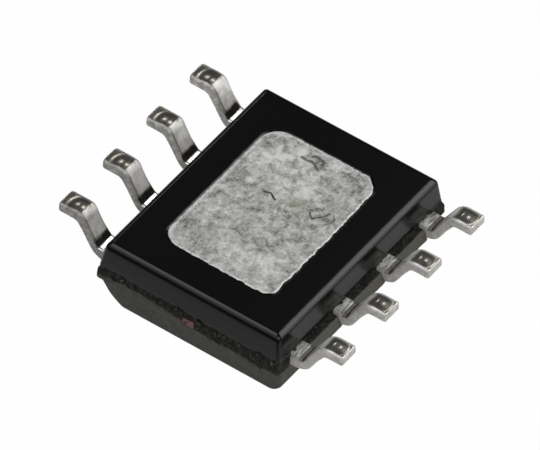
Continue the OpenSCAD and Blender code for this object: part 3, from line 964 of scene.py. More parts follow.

# %% [markdown]
# The upper face starts as plain tin, and each mark of the tools is mixed over it in its own
# zone: streaks on the shoulders, fresh blotches on the riser, the burnished bend and sole.
# Over them comes the painted highlight of the strip beside the body.

# %% Colours of the upper face
# Painted light and shade: in the left row the upper riser is painted darker at lead 1 and
# brighter at lead 4; the right row is left even.
painted_light_falloff = add(tree, "ShaderNodeMapRange", {"Value": spot["Y"], "From Min": -1.9 * MM,
              "From Max": 1.9 * MM, "To Min": 0.68, "To Max": 1.12})
painted_light_falloff = add(tree, "ShaderNodeMix", {0: right_row, 2: painted_light_falloff, 3: 1.0})
plain = add(tree, "ShaderNodeValToRGB", {"Fac": tone})
set_stops(plain, (0.35, "#aeaba4"), (0.65, "#e2e0da"))
# The shoulders were scraped across the lead, which left short pale and dark streaks.
across = add(tree, "ShaderNodeMapping", {"Vector": place, "Scale": (1, 0.22, 1)})
scrape = add(tree, "ShaderNodeTexNoise", {"Vector": across, "Scale": per_mm(0.045),
             "Detail": 4.0, "Roughness": 0.65})
streaks = add(tree, "ShaderNodeValToRGB", {"Fac": scrape})
set_stops(streaks, (0.38, "#55544e"), (0.62, "#c9c8c0"))
plain = add(tree, "ShaderNodeMix", {0: shoulder, 6: plain, 7: streaks},
            data_type="RGBA").outputs[2]
# Next to the sole the riser is blotched with fresh tin.
blotch = add(tree, "ShaderNodeTexNoise", {"Vector": place, "Scale": per_mm(0.2),
             "Detail": 3.0})
blotch = add(tree, "ShaderNodeMapRange", {"Value": blotch, "From Min": 0.36, "From Max": 0.58,
             "To Min": 0.15})
blotch = add(tree, "ShaderNodeMath", {0: blotch, 1: upper_riser}, operation="MULTIPLY")
plain = add(tree, "ShaderNodeMix", {0: blotch, 6: plain, 7: linear("#eeece7")},
            data_type="RGBA").outputs[2]
plain = add(tree, "ShaderNodeMix", {0: upper_riser, 6: plain, 7: painted_light_falloff},
            data_type="RGBA", blend_type="MULTIPLY").outputs[2]
worn = add(tree, "ShaderNodeValToRGB", {"Fac": tone})
set_stops(worn, (0.4, "#77736a"), (0.66, "#99968d"))
colour = add(tree, "ShaderNodeMix", {0: burnished, 6: plain, 7: worn},
             data_type="RGBA").outputs[2]
colour = add(tree, "ShaderNodeMix", {0: painted_highlight_strip, 6: colour, 7: linear("#ecebe6")},
             data_type="RGBA").outputs[2]
print("lead so far:", len(tree.nodes), "nodes")

# %% [markdown]
# The cut sides are torn: darker where the copper was dragged, paler where tin ran over. The
# left row shows this most, and the torn colour is kept off its painted highlight strips.

# %% Torn sides and their edges
LEFT_TORN, RIGHT_TORN = 1.0, 0.3
dragged = add(tree, "ShaderNodeTexNoise", {"Vector": place, "Scale": per_mm(0.1), "Detail": 5.0,
              "Roughness": 0.65})
torn = add(tree, "ShaderNodeValToRGB", {"Fac": dragged})
set_stops(torn, (0.3, "#87847c"), (0.68, "#dcdad2"))
# The torn sides carry the same painted light and shade from lead 1 to lead 4.
torn = add(tree, "ShaderNodeMix", {0: 1.0, 6: torn, 7: painted_light_falloff}, data_type="RGBA",
           blend_type="MULTIPLY").outputs[2]
cover = add(tree, "ShaderNodeMapRange", {"Value": right_row, "To Min": LEFT_TORN,
            "To Max": RIGHT_TORN})
cover = add(tree, "ShaderNodeMath", {0: cover, 1: cut}, operation="MULTIPLY")
dull = add(tree, "ShaderNodeMath", {0: 1.0, 1: painted_highlight_strip}, operation="SUBTRACT")
cover = add(tree, "ShaderNodeMath", {0: cover, 1: dull}, operation="MULTIPLY")
# The edge of the sides carries painted shade along the front-facing edge of the riser, and a
# painted highlight round the pressed soles of the right row.
lip = add(tree, "ShaderNodeMath", {0: cut, 1: away}, operation="MULTIPLY")
painted_riser_edge_shade = add(tree, "ShaderNodeMath", {0: riser, 1: lip}, operation="MULTIPLY")
# Painted shade: only the side edge that faces the front is darkened.
normal = add(tree, "ShaderNodeTexCoord").outputs["Normal"]
facing = add(tree, "ShaderNodeSeparateXYZ", {0: normal}).outputs["Y"]
facing = add(tree, "ShaderNodeMapRange", {"Value": facing, "From Min": 0.1, "From Max": -0.2,
             "To Max": 3.6})
painted_riser_edge_shade = add(tree, "ShaderNodeMath", {0: painted_riser_edge_shade, 1: facing}, operation="MULTIPLY")
# Painted highlight: a near-white edge round the pressed soles of the right row.
painted_sole_edge_highlight = add(tree, "ShaderNodeMath", {0: pressed, 1: lip}, operation="MULTIPLY")
painted_sole_edge_highlight = add(tree, "ShaderNodeMath", {0: painted_sole_edge_highlight, 1: right_row}, operation="MULTIPLY")
painted_sole_edge_highlight = add(tree, "ShaderNodeMath", {0: painted_sole_edge_highlight, 1: 3.0}, operation="MULTIPLY")
for share, shade in ((cover, torn), (painted_riser_edge_shade, linear("#6a675f")),
                     (painted_sole_edge_highlight, linear("#f0efea"))):
    colour = add(tree, "ShaderNodeMix", {0: share, 6: colour, 7: shade},
                 data_type="RGBA").outputs[2]
print("lead so far:", len(tree.nodes), "nodes")

# %% [markdown]
# The tools pressed the bends and the soles smooth, so they are glossier, more metallic and
# almost without grain, while plain matte tin keeps its soft shine.

# %% Gloss and relief of the lead
gloss = add(tree, "ShaderNodeMix", {0: cut, 2: 0.42, 3: 0.5})
tooled = add(tree, "ShaderNodeMapRange", {"Value": right_row, "To Min": 0.26, "To Max": 0.35})
gloss = add(tree, "ShaderNodeMix", {0: bend, 2: gloss, 3: tooled})
gloss = add(tree, "ShaderNodeMix", {0: sole, 2: gloss, 3: 0.15})
grain = add(tree, "ShaderNodeMapRange", {"Value": mottle, "To Min": -0.02, "To Max": 0.02})
gloss = add(tree, "ShaderNodeMath", {0: gloss, 1: grain})
shine = add(tree, "ShaderNodeMix", {0: bend, 2: 0.25, 3: 0.94})
shine = add(tree, "ShaderNodeMix", {0: sole, 2: shine, 3: 0.82})
coarse = add(tree, "ShaderNodeMix", {0: burnished, 2: 1.0, 3: 0.03})
relief = add(tree, "ShaderNodeMath", {0: tone, 1: coarse}, operation="MULTIPLY")
bump = add(tree, "ShaderNodeBump", {"Height": relief, "Strength": 0.4,
           "Distance": 0.008 * MM})
metal = add(tree, "ShaderNodeBsdfPrincipled", {"Base Color": colour, "Metallic": shine,
            "Roughness": gloss, "Normal": bump})
add(tree, "ShaderNodeOutputMaterial", {"Surface": metal})
print("lead:", len(tree.nodes), "nodes")

# %% [markdown]
# ## The leads, by Geometry Nodes
# All eight leads are the same strip, so a node group makes one and a second tree repeats it.
# In the group, a bar with dense points gets its edges rounded by moving each point onto a
# ball round the nearest point of a smaller bar: wide where the punch went in, nearly sharp
# where it came out. Curves thicken or thin the upper and the lower side along the way, and
# one of them fills the upper bend of a row squarely. The tip is narrowed, the sole gets a
# low swelling, and a burr widens the side beside the body. Then the bar is laid along the
# bent centre line: the place along the bar picks a point of the line, and the rest of the
# position is added across it.

# %% Sizes of one lead
def declare(tree, inputs):
    """Gives a tree its named inputs and its geometry output, and returns the input sockets."""
    for label, (kind, value) in inputs.items():
        socket = tree.interface.new_socket(label, in_out="INPUT", socket_type=kind)
        if kind not in ("NodeSocketMaterial", "NodeSocketGeometry"):
            socket.default_value = value
    tree.interface.new_socket("Geometry", in_out="OUTPUT", socket_type="NodeSocketGeometry")
    return add(tree, "NodeGroupInput").outputs


ONE_LEAD = {
    "Width": ("NodeSocketFloat", LEAD_WIDTH),
    "Thickness": ("NodeSocketFloat", SHEET),
    "Upper edge": ("NodeSocketFloat", 0.06),
    "Lower edge": ("NodeSocketFloat", 0.02),
    "Tip corner": ("NodeSocketFloat", 0.08),
    "Inner end": ("NodeSocketVector", (1.4, 0, SHEET_MIDDLE)),
    "Low corner": ("NodeSocketVector", (2.1556, 0, SHEET_MIDDLE)),
    "High corner": ("NodeSocketVector", (2.5754, 0, 1.495)),
    "Tip": ("NodeSocketVector", (3.0222, 0, 1.495)),
    "Low bend": ("NodeSocketFloat", 0.26),
    "High bend": ("NodeSocketFloat", 0.22),
    "Sole middle": ("NodeSocketFloat", 0.24),
    "Sole shift": ("NodeSocketFloat", 0.0),
    "Swelling": ("NodeSocketFloat", 0.0197),
    "Swelling reach": ("NodeSocketFloat", 0.265),
    "Burr": ("NodeSocketFloat", 0.02),
    "Bend fill": ("NodeSocketFloat", 0.0),
}
one_lead = bpy.data.node_groups.new("one_lead", "GeometryNodeTree")
tree = one_lead
given = declare(tree, ONE_LEAD)
print("sizes of one lead:", len(ONE_LEAD))

# %% [markdown]
# Four corner points make the bent centre line, and its two bends are filleted. The straight
# bar is as long as that line.

# %% The line and the bar of one lead
index = add(tree, "GeometryNodeInputIndex").outputs[0]
corners = add(tree, "GeometryNodeIndexSwitch", data_type="VECTOR")
corners.index_switch_items.new()
corners.index_switch_items.new()
tree.links.new(index, corners.inputs["Index"])
for k, label in enumerate(("Inner end", "Low corner", "High corner", "Tip")):
    tree.links.new(given[label], corners.inputs[str(k)])
dots = add(tree, "GeometryNodePoints", {"Count": 4, "Position": corners})
line = add(tree, "GeometryNodePointsToCurves", {"Points": dots})
at_low = add(tree, "FunctionNodeCompare", {2: index, 3: 1}, data_type="INT", operation="EQUAL")
radius = add(tree, "GeometryNodeSwitch", {"Switch": at_low, "False": given["High bend"],
             "True": given["Low bend"]}, input_type="FLOAT")
line = add(tree, "GeometryNodeFilletCurve", {"Curve": line, "Count": 14, "Radius": radius},
           mode="POLY")
length = add(tree, "GeometryNodeCurveLength", {"Curve": line})
size = add(tree, "ShaderNodeCombineXYZ", {0: length, 1: given["Width"], 2: given["Thickness"]})
bar = add(tree, "GeometryNodeMeshCube", {"Size": size, "Vertices X": 112, "Vertices Y": 30,
          "Vertices Z": 10})
print("line and bar:", len(tree.nodes), "nodes")

# %% [markdown]
# Every point of the bar works out its own place: the way along the lead, and how near it is
# to the top and to the sides. These shares steer the shapes below, and three of them are
# stored on the mesh for the material to read.

# %% Places on the bar
place = add(tree, "GeometryNodeInputPosition")
half = add(tree, "ShaderNodeVectorMath", {0: size, "Scale": 0.5}, operation="SCALE")
flat = add(tree, "ShaderNodeSeparateXYZ", {0: place}).outputs
half_flat = add(tree, "ShaderNodeSeparateXYZ", {0: half}).outputs
way = add(tree, "ShaderNodeMath", {0: flat["X"], 1: half_flat["X"]}, operation="ADD")
# The cross cuts of the bar are drawn closer together towards the sole.
closer = add(tree, "ShaderNodeMath", {0: way, 1: length}, operation="DIVIDE")
closer = add(tree, "ShaderNodeMath", {0: closer, 1: -0.5, 2: 1.5}, operation="MULTIPLY_ADD")
closer = add(tree, "ShaderNodeMath", {0: way, 1: closer}, operation="MULTIPLY")
closer = add(tree, "ShaderNodeMath", {0: closer, 1: half_flat["X"]}, operation="SUBTRACT")
closer = add(tree, "ShaderNodeCombineXYZ", {0: closer, 1: flat["Y"], 2: flat["Z"]})
bar = add(tree, "GeometryNodeSetPosition", {"Geometry": bar, "Position": closer})
SOFT = {"interpolation_type": "SMOOTHSTEP"}
on_top = add(tree, "ShaderNodeMapRange", {"Value": flat["Z"], "From Min": -0.03,
             "From Max": 0.03}, **SOFT)
below_top = add(tree, "ShaderNodeMath", {0: half_flat["Z"], 1: flat["Z"]}, operation="SUBTRACT")
upper = add(tree, "ShaderNodeMapRange", {"Value": below_top, "From Min": 0.03,
            "From Max": 0.012}, **SOFT)
off_middle = add(tree, "ShaderNodeMath", {0: flat["Y"]}, operation="ABSOLUTE")
from_side = add(tree, "ShaderNodeMath", {0: half_flat["Y"], 1: off_middle},
                operation="SUBTRACT")
cut = add(tree, "ShaderNodeMapRange", {"Value": from_side, "From Min": 0.08,
          "From Max": 0.005}, **SOFT)
for label, value in (("along", way), ("upper", upper), ("cut", cut)):
    bar = add(tree, "GeometryNodeStoreNamedAttribute", {"Geometry": bar, "Name": label,
              "Value": value}, data_type="FLOAT")
print("places:", len(tree.nodes), "nodes")

# %% [markdown]
# A Bevel modifier could round the edges of the finished leads. Here they are rounded while
# the bar is still straight and its sides are easy to name: each point is moved onto a ball
# round the nearest point of a smaller bar, with a wide ball above and a narrow one below.

# %% Rounded edges of the lead
edge = add(tree, "ShaderNodeMath", {0: given["Upper edge"], 1: given["Lower edge"]},
           operation="SUBTRACT")
edge = add(tree, "ShaderNodeMath", {0: edge, 1: on_top, 2: given["Lower edge"]},
           operation="MULTIPLY_ADD")
half_edge = add(tree, "ShaderNodeMath", {0: edge, 1: 0.5}, operation="MULTIPLY")
edge = add(tree, "ShaderNodeCombineXYZ", {0: half_edge, 1: edge, 2: edge})
core = add(tree, "ShaderNodeVectorMath", {0: half, 1: edge}, operation="SUBTRACT")
low_core = add(tree, "ShaderNodeVectorMath", {0: (0, 0, 0), 1: core}, operation="SUBTRACT")
nearest = add(tree, "ShaderNodeVectorMath", {0: place, 1: core}, operation="MINIMUM")
nearest = add(tree, "ShaderNodeVectorMath", {0: nearest, 1: low_core}, operation="MAXIMUM")
spoke = add(tree, "ShaderNodeVectorMath", {0: place, 1: nearest}, operation="SUBTRACT")
spoke = add(tree, "ShaderNodeVectorMath", {0: spoke}, operation="NORMALIZE")
spoke = add(tree, "ShaderNodeVectorMath", {0: spoke, 1: edge}, operation="MULTIPLY")
rounded = add(tree, "ShaderNodeVectorMath", {0: nearest, 1: spoke}, operation="ADD")
bar = add(tree, "GeometryNodeSetPosition", {"Geometry": bar, "Position": rounded})
print("edges:", len(tree.nodes), "nodes")

# %% [markdown]
# The press squeezed the strip in some places and let it swell in others. Float curves hold
# that as a thickness to add, drawn against the way along: one for the upper side, one for
# the lower, and one that fills the upper bend.

# %% Thickness along the lead
CURVE_WAY, CURVE_REACH = 2.0, 0.1      # the way and the thickness that fill a curve's box


def side_curve(points):
    """A curve of side thickness against the way along, both in millimetres."""
    shrunk = add(tree, "ShaderNodeMath", {0: way, 1: 1 / CURVE_WAY}, operation="MULTIPLY")
    made = add(tree, "ShaderNodeFloatCurve", {"Value": shrunk})
    curve = made.mapping.curves[0]
    for _ in points[2:]:
        curve.points.new(0.5, 0.5)
    for point, (distance, extra) in zip(curve.points, points):
        point.location = (distance / CURVE_WAY, 0.5 + extra / (2 * CURVE_REACH))
    made.mapping.update()
    centred = add(tree, "ShaderNodeMath", {0: made, 1: 0.5}, operation="SUBTRACT")
    return add(tree, "ShaderNodeMath", {0: centred, 1: 2 * CURVE_REACH}, operation="MULTIPLY")


UPPER_SIDE = [(0, 0.055), (0.6, 0.055), (0.68, 0.051), (0.737, 0.038), (0.804, 0.0195),
              (0.846, 0.0007), (0.875, -0.0168), (0.93, -0.019), (1.05, -0.02), (1.3, -0.02),
              (1.5, -0.0205), (2, -0.0205)]
BEND_FILL = [(0, 0), (1.25, 0), (1.33, 0.003), (1.4, 0.0085), (1.46, 0.0148), (1.5165, 0.02),
             (1.547, 0.0108), (1.57, 0.0028), (1.587, 0.0004), (1.604, 0), (2, 0)]
LOWER_SIDE = [(0, 0), (0.6, 0), (0.72, -0.012), (0.85, 0), (1.0, 0), (1.2, -0.008),
              (1.4, 0), (1.5, 0), (1.62, -0.012), (2, -0.012)]
tall = add(tree, "ShaderNodeMath", {0: flat["Z"], 1: half_flat["Z"]}, operation="DIVIDE")
above = add(tree, "ShaderNodeMath", {0: tall, 1: 0.0}, operation="MAXIMUM")
under = add(tree, "ShaderNodeMath", {0: tall, 1: 0.0}, operation="MINIMUM")
extra = add(tree, "ShaderNodeMath", {0: side_curve(BEND_FILL), 1: given["Bend fill"],
            2: side_curve(UPPER_SIDE)}, operation="MULTIPLY_ADD")
extra = add(tree, "ShaderNodeMath", {0: extra, 1: above}, operation="MULTIPLY")
less = add(tree, "ShaderNodeMath", {0: side_curve(LOWER_SIDE), 1: under}, operation="MULTIPLY")
print("thickness:", len(tree.nodes), "nodes")

# %% [markdown]
# Seen from above, the tip has round corners, so its half width shrinks along a quarter
# circle.

# %% Tip of the lead
past = add(tree, "ShaderNodeMath", {0: half_flat["X"], 1: given["Tip corner"]},
           operation="SUBTRACT")
past = add(tree, "ShaderNodeMath", {0: flat["X"], 1: past}, operation="SUBTRACT")
past = add(tree, "ShaderNodeMath", {0: past, 1: 0.0}, operation="MAXIMUM")
past = add(tree, "ShaderNodeMath", {0: past, 1: 2.0}, operation="POWER")
reach = add(tree, "ShaderNodeMath", {0: given["Tip corner"], 1: 2.0}, operation="POWER")
reach = add(tree, "ShaderNodeMath", {0: reach, 1: past}, operation="SUBTRACT")
reach = add(tree, "ShaderNodeMath", {0: reach, 1: 0.0}, operation="MAXIMUM")
reach = add(tree, "ShaderNodeMath", {0: reach}, operation="SQRT")
narrow = add(tree, "ShaderNodeMath", {0: half_flat["Y"], 1: given["Tip corner"]},
             operation="SUBTRACT")
narrow = add(tree, "ShaderNodeMath", {0: narrow, 1: reach}, operation="ADD")
narrow = add(tree, "ShaderNodeMath", {0: narrow, 1: half_flat["Y"]}, operation="DIVIDE")
print("tip:", len(tree.nodes), "nodes")

# %% [markdown]
# The anvil left a low swelling on the sole, which mirrors the lamps as small bright dots. A
# plain bump would end with a crease, so its round crown runs into a hollow foot.

# %% Swelling of the sole
# The crown ends at this share of the reach; the two curves meet there with one slope.
CROWN_END, CROWN_CURVE, FOOT_CURVE = 0.6, 1.661, 2.49
ahead = add(tree, "ShaderNodeMath", {0: half_flat["X"], 1: given["Sole middle"]},
            operation="SUBTRACT")
ahead = add(tree, "ShaderNodeMath", {0: ahead, 1: flat["X"]}, operation="SUBTRACT")
ahead = add(tree, "ShaderNodeMath", {0: ahead, 1: 2.0}, operation="POWER")
sideways = add(tree, "ShaderNodeMath", {0: flat["Y"], 1: given["Sole shift"]},
               operation="SUBTRACT")
sideways = add(tree, "ShaderNodeMath", {0: sideways, 1: 2.0}, operation="POWER")
far = add(tree, "ShaderNodeMath", {0: ahead, 1: sideways}, operation="ADD")
far = add(tree, "ShaderNodeMath", {0: far}, operation="SQRT")
far = add(tree, "ShaderNodeMath", {0: far, 1: given["Swelling reach"]}, operation="DIVIDE")
far = add(tree, "ShaderNodeMath", {0: far, 1: 1.0}, operation="MINIMUM")
crown = add(tree, "ShaderNodeMath", {0: far, 1: 2.0}, operation="POWER")
crown = add(tree, "ShaderNodeMath", {0: crown, 1: CROWN_CURVE}, operation="MULTIPLY")
crown = add(tree, "ShaderNodeMath", {0: 1.0, 1: crown}, operation="SUBTRACT")
foot = add(tree, "ShaderNodeMath", {0: 1.0, 1: far}, operation="SUBTRACT")
foot = add(tree, "ShaderNodeMath", {0: foot, 1: 2.0}, operation="POWER")
foot = add(tree, "ShaderNodeMath", {0: foot, 1: FOOT_CURVE}, operation="MULTIPLY")
outside = add(tree, "ShaderNodeMath", {0: far, 1: CROWN_END}, operation="GREATER_THAN")
bell = add(tree, "ShaderNodeMix", {0: outside, 2: crown, 3: foot})
swell = add(tree, "ShaderNodeMath", {0: bell, 1: given["Swelling"]}, operation="MULTIPLY")
swell = add(tree, "ShaderNodeMath", {0: swell, 1: on_top}, operation="MULTIPLY")
print("sole:", len(tree.nodes), "nodes")

# %% [markdown]
# Towards the body the lead widens a little, mostly on one side, where the bar between the
# leads was cut from it. The sole was pressed a little wider too. With that, each point has
# its new width and height, still on a straight bar.

# %% Width, burr and the shaped bar
near_body = add(tree, "ShaderNodeMapRange", {"Value": way, "From Min": 1.2, "From Max": 0.8},
                **SOFT)
near_tip = add(tree, "ShaderNodeMapRange", {"Value": way, "From Min": 1.35, "From Max": 1.6},
               **SOFT)
widened = add(tree, "ShaderNodeMath", {0: near_body, 1: 0.07, 2: narrow},
              operation="MULTIPLY_ADD")
widened = add(tree, "ShaderNodeMath", {0: near_tip, 1: 0.06, 2: widened},
              operation="MULTIPLY_ADD")
burr = add(tree, "ShaderNodeMath", {0: near_body, 1: given["Burr"]}, operation="MULTIPLY")
wide_now = add(tree, "ShaderNodeMath", {0: flat["Y"], 1: widened, 2: burr},
               operation="MULTIPLY_ADD")
tall_now = add(tree, "ShaderNodeMath", {0: flat["Z"], 1: extra}, operation="ADD")
lowered = add(tree, "ShaderNodeMath", {0: less, 1: swell}, operation="ADD")
tall_now = add(tree, "ShaderNodeMath", {0: tall_now, 1: lowered}, operation="ADD")
shaped = add(tree, "ShaderNodeCombineXYZ", {0: flat["X"], 1: wide_now, 2: tall_now})
bar = add(tree, "GeometryNodeSetPosition", {"Geometry": bar, "Position": shaped})
print("shaped bar:", len(tree.nodes), "nodes")

# %% [markdown]
# Last, the straight bar is laid along the bent line. The way along picks a point of the line
# and its direction, and the height and width are measured across it.

# %% Laying the bar along the bent line
spot = add(tree, "GeometryNodeSampleCurve", {"Curves": line, "Length": way,
           "Curve Index": 0}, mode="LENGTH").outputs
lift = add(tree, "ShaderNodeVectorMath", {0: spot["Tangent"], 1: (0, 1, 0)},
           operation="CROSS_PRODUCT")
raised = add(tree, "ShaderNodeVectorMath", {0: lift, "Scale": flat["Z"]}, operation="SCALE")
across = add(tree, "ShaderNodeCombineXYZ", {1: flat["Y"]})
laid = add(tree, "ShaderNodeVectorMath", {0: spot["Position"], 1: raised}, operation="ADD")
laid = add(tree, "ShaderNodeVectorMath", {0: laid, 1: across}, operation="ADD")
bar = add(tree, "GeometryNodeSetPosition", {"Geometry": bar, "Position": laid})
add(tree, "NodeGroupOutput", {"Geometry": bar})
print("nodes in the group of one lead:", len(tree.nodes))

# %% [markdown]
# ## Eight leads in two rows
# The second tree stands four leads in a row on each side. The two sides of the press are
# never quite the same, so the group is used twice, with its own bends and sole heights for
# each row, and the second row is turned by half a turn. Inside the moulding each lead gets
# the wide plate that grips the resin.

# %% Row of points
LEAD_INPUTS = {
    "Count": ("NodeSocketInt", 4),
    "Pitch": ("NodeSocketFloat", PITCH),
    "Grip": ("NodeSocketVector", (0.26, 0.62, SHEET)),
    "Dent size": ("NodeSocketFloat", 0.2),
    "Dent depth": ("NodeSocketFloat", 0.008),
    "Seed": ("NodeSocketFloat", 3.0),
    "Metal": ("NodeSocketMaterial", lead_tin),
}
leads_tree = bpy.data.node_groups.new("bent_leads", "GeometryNodeTree")
tree = leads_tree
given = declare(tree, LEAD_INPUTS)
gaps = add(tree, "ShaderNodeMath", {0: given["Count"], 1: 1.0}, operation="SUBTRACT")
start = add(tree, "ShaderNodeMath", {0: given["Pitch"], 1: -0.5}, operation="MULTIPLY")
start = add(tree, "ShaderNodeMath", {0: gaps, 1: start}, operation="MULTIPLY")
start = add(tree, "ShaderNodeCombineXYZ", {1: start})
step = add(tree, "ShaderNodeCombineXYZ", {1: given["Pitch"]})
row = add(tree, "GeometryNodeMeshLine", {"Count": given["Count"], "Start Location": start,
          "Offset": step}, mode="OFFSET")
place = add(tree, "GeometryNodeInputPosition")
row_y = add(tree, "ShaderNodeSeparateXYZ", {0: place}).outputs["Y"]
# The grip plates stand towards the middle of the row, so they keep clear of its ends.
GRIP_X = 1.53
outward = add(tree, "ShaderNodeMath", {0: row_y}, operation="SIGN")
grip_width = add(tree, "ShaderNodeSeparateXYZ", {0: given["Grip"]}).outputs["Y"]
shift = add(tree, "ShaderNodeMath", {0: grip_width, 1: LEAD_WIDTH}, operation="SUBTRACT")
shift = add(tree, "ShaderNodeMath", {0: shift, 1: -0.5}, operation="MULTIPLY")
shift = add(tree, "ShaderNodeMath", {0: outward, 1: shift}, operation="MULTIPLY")
grip_place = add(tree, "ShaderNodeCombineXYZ", {0: GRIP_X, 1: shift, 2: SHEET_MIDDLE})
grip_row = add(tree, "GeometryNodeSetPosition", {"Geometry": row, "Offset": grip_place})
grip = add(tree, "GeometryNodeMeshCube", {"Size": given["Grip"]})
print("row of points:", len(tree.nodes), "nodes")

# %% [markdown]
# Each row joins four leads and their grips.

# %% Two rows of leads
near_row = {"Low corner": (2.183, 0, SHEET_MIDDLE), "High corner": (2.59, 0, 1.478),
            "Tip": (3.0222, 0, 1.478), "Tip corner": 0.045, "Sole middle": 0.235,
            "Swelling": 0.0146, "Swelling reach": 0.22}
far_row = {"High corner": (2.562, 0, 1.495), "High bend": 0.17, "Tip corner": 0.07,
           "Sole middle": 0.347, "Sole shift": 0.045, "Burr": -0.02, "Bend fill": 1.0}
rows = add(tree, "GeometryNodeJoinGeometry")
for turn, own_sizes in ((0, near_row), (math.pi, far_row)):
    strip = add(tree, "GeometryNodeGroup", own_sizes, node_tree=one_lead)
    pair = add(tree, "GeometryNodeJoinGeometry")
    for stands, piece in ((row, strip), (grip_row, grip)):
        placed = add(tree, "GeometryNodeInstanceOnPoints", {"Points": stands,
                     "Instance": piece})
        tree.links.new(placed.outputs[0], pair.inputs[0])
    turned = add(tree, "GeometryNodeTransform", {"Geometry": pair, "Rotation": (0, 0, turn)})
    tree.links.new(turned.outputs[0], rows.inputs[0])
solid = add(tree, "GeometryNodeRealizeInstances", {"Geometry": rows})
print("rows:", len(tree.nodes), "nodes")

# %% [markdown]
# Handling left shallow dents, different on each lead, which fade out before the sole. The
# rows are then shrunk to metres and get their metal.

# %% Dents, metres and metal
DENT_LEVEL = 0.62             # noise below this pushes the surface in
dent_scale = add(tree, "ShaderNodeMath", {0: 1.0, 1: given["Dent size"]}, operation="DIVIDE")
dents = add(tree, "ShaderNodeTexNoise", {"Vector": place, "W": given["Seed"],
            "Scale": dent_scale, "Detail": 2.0}, noise_dimensions="4D")
distance = add(tree, "GeometryNodeInputNamedAttribute", {"Name": "along"},
               data_type="FLOAT")
before_sole = add(tree, "ShaderNodeMapRange", {"Value": distance, "From Min": 1.5,
                  "From Max": 1.35}, **SOFT)
deep = add(tree, "ShaderNodeMath", {0: dents, 1: DENT_LEVEL}, operation="SUBTRACT")
deepest = add(tree, "ShaderNodeMath", {0: given["Dent depth"], 1: before_sole},
              operation="MULTIPLY")
deep = add(tree, "ShaderNodeMath", {0: deep, 1: deepest}, operation="MULTIPLY")
normal = add(tree, "GeometryNodeInputNormal")
push = add(tree, "ShaderNodeVectorMath", {0: normal, "Scale": deep}, operation="SCALE")
solid = add(tree, "GeometryNodeSetPosition", {"Geometry": solid, "Offset": push})
solid = add(tree, "GeometryNodeTransform", {"Geometry": solid, "Scale": (MM, MM, MM)})
solid = add(tree, "GeometryNodeSetShadeSmooth", {"Geometry": solid})
solid = add(tree, "GeometryNodeSetMaterial", {"Geometry": solid, "Material": given["Metal"]})
add(tree, "NodeGroupOutput", {"Geometry": solid})
print("nodes in the tree of the rows:", len(tree.nodes))

# %% [markdown]
# The tree runs on an empty object. Its result is kept as a plain mesh, because the frame
# needs real geometry, not a live modifier.

# %% Leads as a plain mesh
def grow_piece(name, tree, values, start_mesh=None):
    """Runs a tree on a new object and keeps the result as a plain mesh."""
    piece = bpy.data.objects.new(name, start_mesh or bpy.data.meshes.new(name + "_start"))
    bpy.context.collection.objects.link(piece)
    modifier = piece.modifiers.new("grow", "NODES")
    modifier.node_group = tree
    for item in tree.interface.items_tree:
        if item.in_out == "INPUT" and values[item.name][1] is not None:
            modifier[item.identifier] = values[item.name][1]
    evaluated = piece.evaluated_get(bpy.context.evaluated_depsgraph_get())
    mesh = bpy.data.meshes.new_from_object(evaluated)
    mesh.name = name
    piece.modifiers.clear()
    piece.data = mesh
    return piece


leads = grow_piece("bent_leads", leads_tree, LEAD_INPUTS)
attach(leads, "root")
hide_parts(*[f"lead_{n}" for n in range(1, 9)])
print("leads:", len(leads.data.polygons), "faces, box in mm",
      [[round(v / MM, 3) for v in c] for c in (leads.bound_box[0], leads.bound_box[6])])

# %% [markdown]
# ## Crumbs of resin, by Geometry Nodes
# Crumbs still stick where the flash broke away. A thin strip laid along the parting line is
# scattered with points, and each point gets a chip with a size and a turn of its own. The
# chips are cut off level with the ledge, so that they add nothing to the body's length.

# %% Crumb material
crumb_resin, tree = new_material("broken_resin")
place = add(tree, "ShaderNodeTexCoord").outputs["Object"]
patches = add(tree, "ShaderNodeTexNoise", {"Vector": place, "Scale": per_mm(0.07),
              "Detail": 3.0})
colour = add(tree, "ShaderNodeValToRGB", {"Fac": patches})
set_stops(colour, (0.42, "#0e0e0b"), (0.68, "#55544a"))
bump = add(tree, "ShaderNodeBump", {"Height": patches, "Strength": 0.5, "Distance": 0.01 * MM})
chip = add(tree, "ShaderNodeBsdfPrincipled", {"Base Color": colour, "Roughness": 0.8,
           "Specular IOR Level": 0.15, "Normal": bump})
add(tree, "ShaderNodeOutputMaterial", {"Surface": chip})
print("broken resin:", len(tree.nodes), "nodes")

# %% [markdown]
# The strips show the tree where crumbs may lie. They are only a place to scatter points on,
# and never become part of the chip.

# %% Strips along the parting line
FRONT_Y, BACK_Y, SIDE_X = -2.432, 2.42, 1.915      # just inside the skin of the body
strip_points, strip_faces = [], []


def lay_strip(spots):
    """A strip of quads through (x, y, lower height, upper height)."""
    base = len(strip_points)
    for x, y, low, high in spots:
        strip_points.extend([Vector((x, y, low)), Vector((x, y, high))])
    strip_faces.extend((base + 2 * k, base + 2 * k + 2, base + 2 * k + 3, base + 2 * k + 1)
                       for k in range(len(spots) - 1))


lay_strip([(x, FRONT_Y, between(FRONT_LOWER, x) - 0.01, between(FRONT_LOWER, x) + 0.05)
           for x in (-1.7, -1.44, -0.8, -0.25)])
lay_strip([(x, FRONT_Y, between(FRONT_LOWER, x) + 0.01, between(FRONT_UPPER, x) - 0.04)
           for x in (-0.25, 0.1, 0.48, 1.12, 1.54, 1.85)])
lay_strip([(x, BACK_Y, 0.74, 0.96) for x in (-1.8, 1.8)])
for side in (-1, 1):
    lay_strip([(side * SIDE_X, y, 0.93, 0.98) for y in (-2.3, 2.3)])
strip = bpy.data.meshes.new("strip")
strip.from_pydata(strip_points, [], strip_faces)
print("strip:", len(strip_faces), "faces")

# %% [markdown]
# A point is scattered for each crumb, and an icosphere of 20 faces is set on it, squashed,
# turned and sized at random from fixed seeds.

